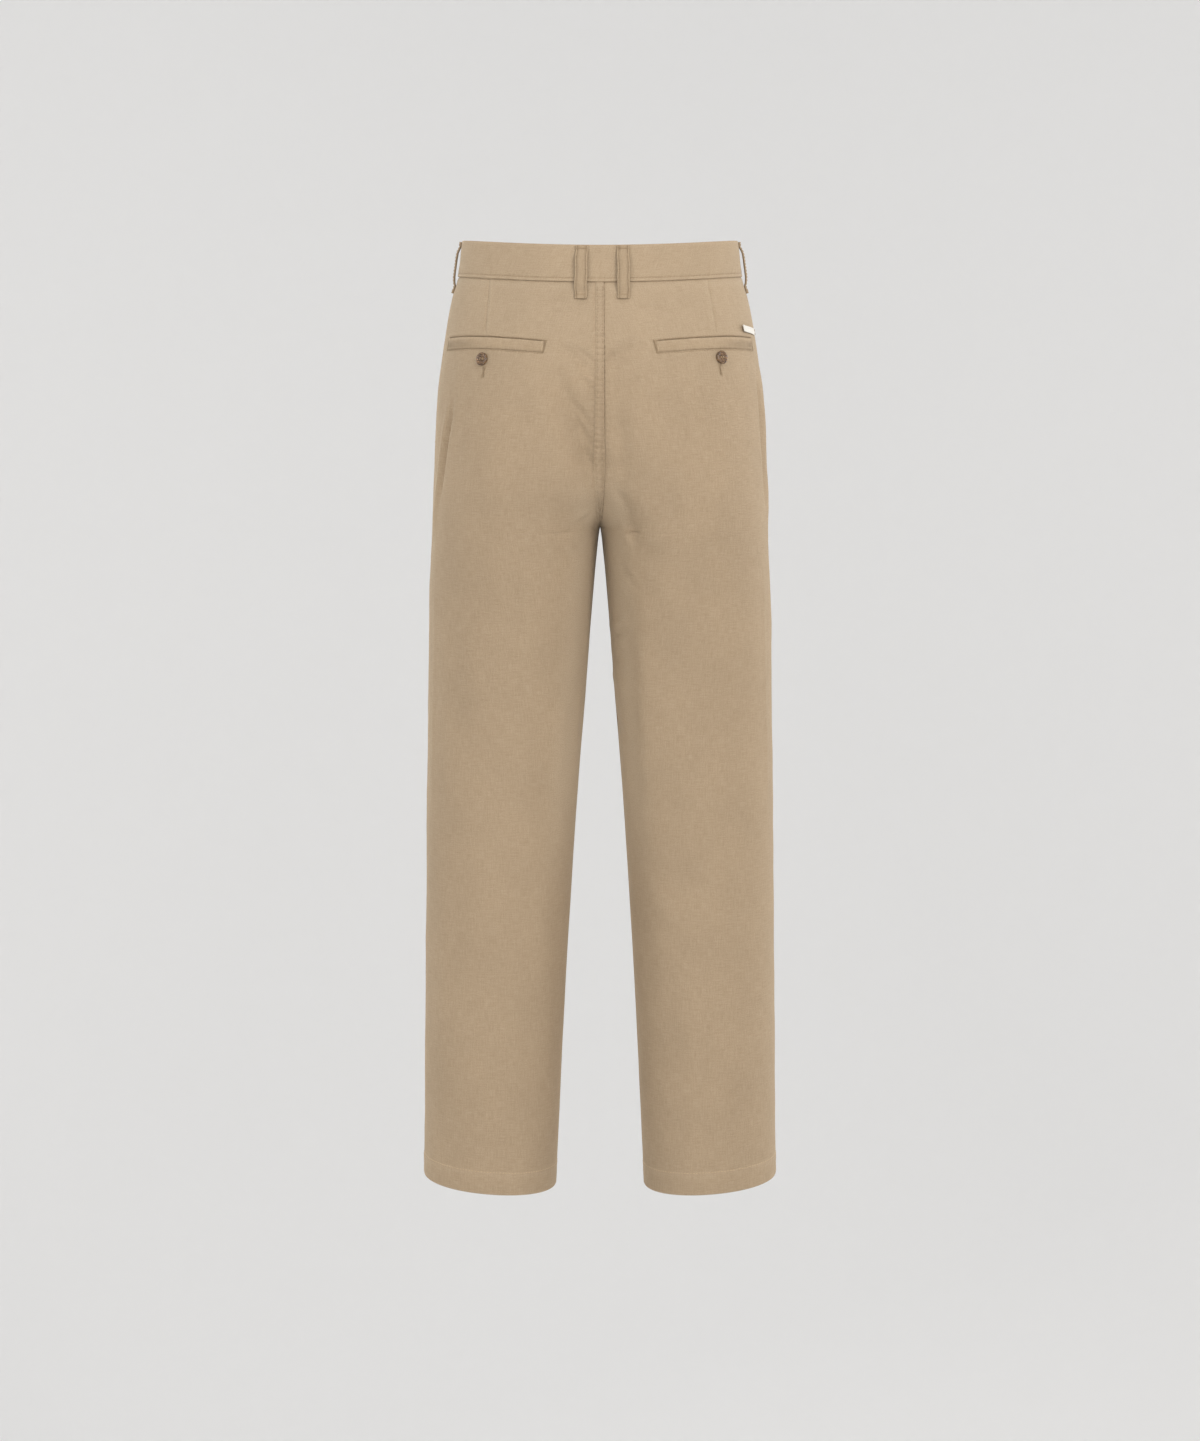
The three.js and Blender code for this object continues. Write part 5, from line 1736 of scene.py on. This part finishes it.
class CHINO_OT_panels(ChinoOperator, bpy.types.Operator):
    """Cuts and joins the back and front panels, with the seams' stitching"""

    bl_idname = "chino.panels"
    bl_label = "Panels"

    def execute(self, context):
        sewing = context.scene.chino_sewing
        for side, name in SIDES:
            back = add_panel("back", side, name)
            front = add_panel("front", side, name)
            level = HEM + HEM_DEPTH
            half = float(FORM.half_at(level))
            length = np.linspace(SIDE_SEAM + 1, half - 1, 500)
            hem = [sewn_line(side, np.full_like(length, level), way * length, sewing)
                   for way in (1, -1)]
            hem = add_sewing(f"hem_stitching_{name}", hem, tint=HEM_THREAD)
        level = np.linspace(BELOW_BAND, FORK + 14, 700)
        rows = []
        for away in (2.4, -2.4):
            rows.append(sewn_line(1, level, FORM.half_at(level) - away, sewing))
        level = np.linspace(FLY_BOTTOM - 8, FORK + 10, 200)
        rows.append(sewn_line(1, level, -(FORM.half_at(level) - 2.6), sewing))
        add_sewing("seat_stitching", rows)
        return {"FINISHED"}


class CHINO_OT_front_pockets(ChinoOperator, bpy.types.Operator):
    """Sets the slanted front pockets: facings, bags and topstitched mouths"""

    bl_idname = "chino.front_pockets"
    bl_label = "Front pockets"

    def execute(self, context):
        sewing = context.scene.chino_sewing
        for side, name in SIDES:
            facing, bag = add_front_pocket(side, name)
            rows = []
            level = np.linspace(BELOW_BAND, MOUTH_BOTTOM + 12, 500)
            for away in (1.6, 6.5):
                length = SIDE_SEAM - mouth_width(level) - away
                rows.append(sewn_line(side, level, length, sewing))
            for level in (-52.0, MOUTH_BOTTOM + 14.0):
                length = SIDE_SEAM - float(mouth_width(level)) - 4
                rows.append(bartack(side, level, length, 8, 1.6, sewing, upright=False))
            add_sewing(f"front_pocket_stitching_{name}", rows)
        return {"FINISHED"}


class CHINO_OT_back_pockets(ChinoOperator, bpy.types.Operator):
    """Sets the welted back pockets: welts, bags, bartacks and buttonholes"""

    bl_idname = "chino.back_pockets"
    bl_label = "Back pockets"

    def execute(self, context):
        sewing = context.scene.chino_sewing
        for side, name in SIDES:
            add_welt(side, name)
            bag = add_back_bag(side, name)
            rows = []
            share = np.linspace(0.01, 0.99, 300)
            level = welt_line(share) - WELT["height"] - 1.6
            length = FORM.half_at(level) - WELT["start"] - WELT["length"] * share
            rows.append(sewn_line(side, level, length, sewing))
            for share in (-0.008, 1.008):
                level = float(welt_line(share)) - WELT["height"] / 2
                half = float(FORM.half_at(level))
                length = half - WELT["start"] - WELT["length"] * share
                rows.append(bartack(side, level, length, WELT["height"] + 2, 1.9, sewing, out=0.8))
            across, top, bottom = BUTTONHOLES[side]
            level = (top + bottom) / 2
            middle = FORM.length_at(level, across)
            for shift in (-0.75, 0.75):
                rows.append(bartack(side, level, middle + shift, top - bottom, 1.1, sewing, out=0.2))
            add_sewing(f"back_pocket_stitching_{name}", rows)
        return {"FINISHED"}


class CHINO_OT_band(ChinoOperator, bpy.types.Operator):
    """Sews the waistband"""

    bl_idname = "chino.band"
    bl_label = "Waistband"

    def execute(self, context):
        band = add_band()
        rows = add_band_sewing(context.scene.chino_sewing)
        return {"FINISHED"}


class CHINO_OT_loops(ChinoOperator, bpy.types.Operator):
    """Sews the six belt loops"""

    bl_idname = "chino.loops"
    bl_label = "Belt loops"

    def execute(self, context):
        rows = []
        for loop in LOOPS:
            rows.extend(add_loop(*loop, context.scene.chino_sewing))
        add_sewing("loop_stitching", rows)
        return {"FINISHED"}


class CHINO_OT_fly(ChinoOperator, bpy.types.Operator):
    """Builds the fly: facing, shield, zip and the curved topstitching"""

    bl_idname = "chino.fly"
    bl_label = "Fly"

    def execute(self, context):
        sewing = context.scene.chino_sewing
        facing = fly_sheet("fly_facing_cloth", "facing", twill_material(), "fly_facing")
        shield = fly_sheet("fly_shield_cloth", "shield", twill_material("double"), "fly_shield")
        tape = fly_sheet("zip_tape", "zip", pocketing_material(), "fly_zip")
        add_zip_teeth()
        for node in ("fly_slider", "fly_pull_tab"):
            dress_node(node, brass_material(), "zip")
        straight = np.linspace(BELOW_BAND, FLY_BOTTOM + FLY_CURVE, 200)
        turns = np.linspace(0, math.pi / 2, 60)
        level = np.concatenate([straight, FLY_BOTTOM + FLY_CURVE - FLY_CURVE * np.sin(turns)])
        away = np.concatenate([np.full_like(straight, FLY_STITCH),
                               FLY_STITCH - (FLY_STITCH - 2) * (1 - np.cos(turns))])
        rows = [sewn_line(1, level, -(FORM.half_at(level) - away), sewing)]
        half = float(FORM.half_at(FLY_BOTTOM - 2.0))
        rows.append(bartack(1, FLY_BOTTOM - 2.0, -(half - 3), 8, 1.7, sewing, out=0.6))
        add_sewing("fly_stitching", rows)
        return {"FINISHED"}


def dress_node(node, material, slot):
    """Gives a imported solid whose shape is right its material."""
    piece = bpy.data.objects[node]
    for place in piece.material_slots:
        place.material = material
    if not piece.material_slots:
        raise RuntimeError(f"{node} has no material slot")


class CHINO_OT_buttons(ChinoOperator, bpy.types.Operator):
    """Sews on the horn buttons"""

    bl_idname = "chino.buttons"
    bl_label = "Buttons"

    def execute(self, context):
        sewing = context.scene.chino_sewing
        rows = []
        for name, node, side, face, across, level, proud, make in BUTTONS:
            # The back of a button is flat, so on the curved cloth its middle stands further off.
            depth = float(FORM.read(FORM.y.max(axis=1), level))
            clear = proud + SEAM_GAP + make[0] ** 2 / (2 * depth)
            length = face * FORM.length_at(level, across)
            point, normal, _ = FORM.place(side, np.array([level]), np.array([length]))
            seat = point[0] + normal[0] * clear
            rows.extend(add_button(name, make, seat, normal[0], node, sewing))
        add_sewing("button_thread", rows)
        return {"FINISHED"}


class CHINO_OT_label(ChinoOperator, bpy.types.Operator):
    """Sews on the plain woven side label"""

    bl_idname = "chino.label"
    bl_label = "Side label"

    def execute(self, context):
        shares = np.linspace(0, 1, 43)[:, None]
        drop, high = LABEL_SECTION.T[:, None]
        high = high * 0.9
        level = LABEL["level"] + LABEL["rise"] * shares + drop
        length = LABEL["start"] + LABEL["length"] * shares
        wave = 0.4 * np.sin(5 * shares + 0.6) * shares
        out = 0.6 + 2.4 * shares ** 2 + high + wave
        points, normal = cloth_face(-1, level, length, out)
        points, faces = tube(points)
        add_piece("side_tab", points, faces, label_material(), grain_of(drop, length),
                  node="side_label")
        level = np.linspace(LABEL["level"] + 0.4 - LABEL["height"], LABEL["level"] - 0.2, 40)
        row = sewn_line(-1, level, np.full_like(level, LABEL["start"] + 2.5),
                        context.scene.chino_sewing, out=1.7)
        add_sewing("side_tab_stitching", [row])
        return {"FINISHED"}


STEPS = (
    CHINO_OT_stage, CHINO_OT_band, CHINO_OT_panels, CHINO_OT_front_pockets,
    CHINO_OT_back_pockets, CHINO_OT_loops, CHINO_OT_fly, CHINO_OT_buttons, CHINO_OT_label,
)


class CHINO_PT_sidebar(bpy.types.Panel):
    """The steps and settings of the chinos"""

    bl_label = "Chinos"
    bl_idname = "CHINO_PT_sidebar"
    bl_space_type = "VIEW_3D"
    bl_region_type = "UI"
    bl_category = "Chinos"

    def draw(self, context):
        layout = self.layout
        for step in STEPS:
            layout.operator(step.bl_idname)
        for group in ("chino_cloth", "chino_sewing", "chino_trims"):
            settings = getattr(context.scene, group)
            box = layout.box()
            for name in settings.bl_rna.properties.keys():
                if name not in ("rna_type", "name"):
                    box.prop(settings, name)


GROUPS = (
    ("chino_cloth", ChinoCloth),
    ("chino_sewing", ChinoSewing),
    ("chino_trims", ChinoTrims),
)


def register():
    """Adds the settings, the operators and the sidebar."""
    for name, group in GROUPS:
        bpy.utils.register_class(group)
        setattr(bpy.types.Scene, name, PointerProperty(type=group))
    for step in (*STEPS, CHINO_PT_sidebar):
        bpy.utils.register_class(step)


def unregister():
    """Takes them away again."""
    for step in reversed((*STEPS, CHINO_PT_sidebar)):
        bpy.utils.unregister_class(step)
    for name, group in reversed(GROUPS):
        delattr(bpy.types.Scene, name)
        bpy.utils.unregister_class(group)


def main():
    """Dresses the frame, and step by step."""
    register()
    for step in STEPS:
        group, name = step.bl_idname.split(".")
        getattr(getattr(bpy.ops, group), name)()


if __name__ == "__main__":
    main()
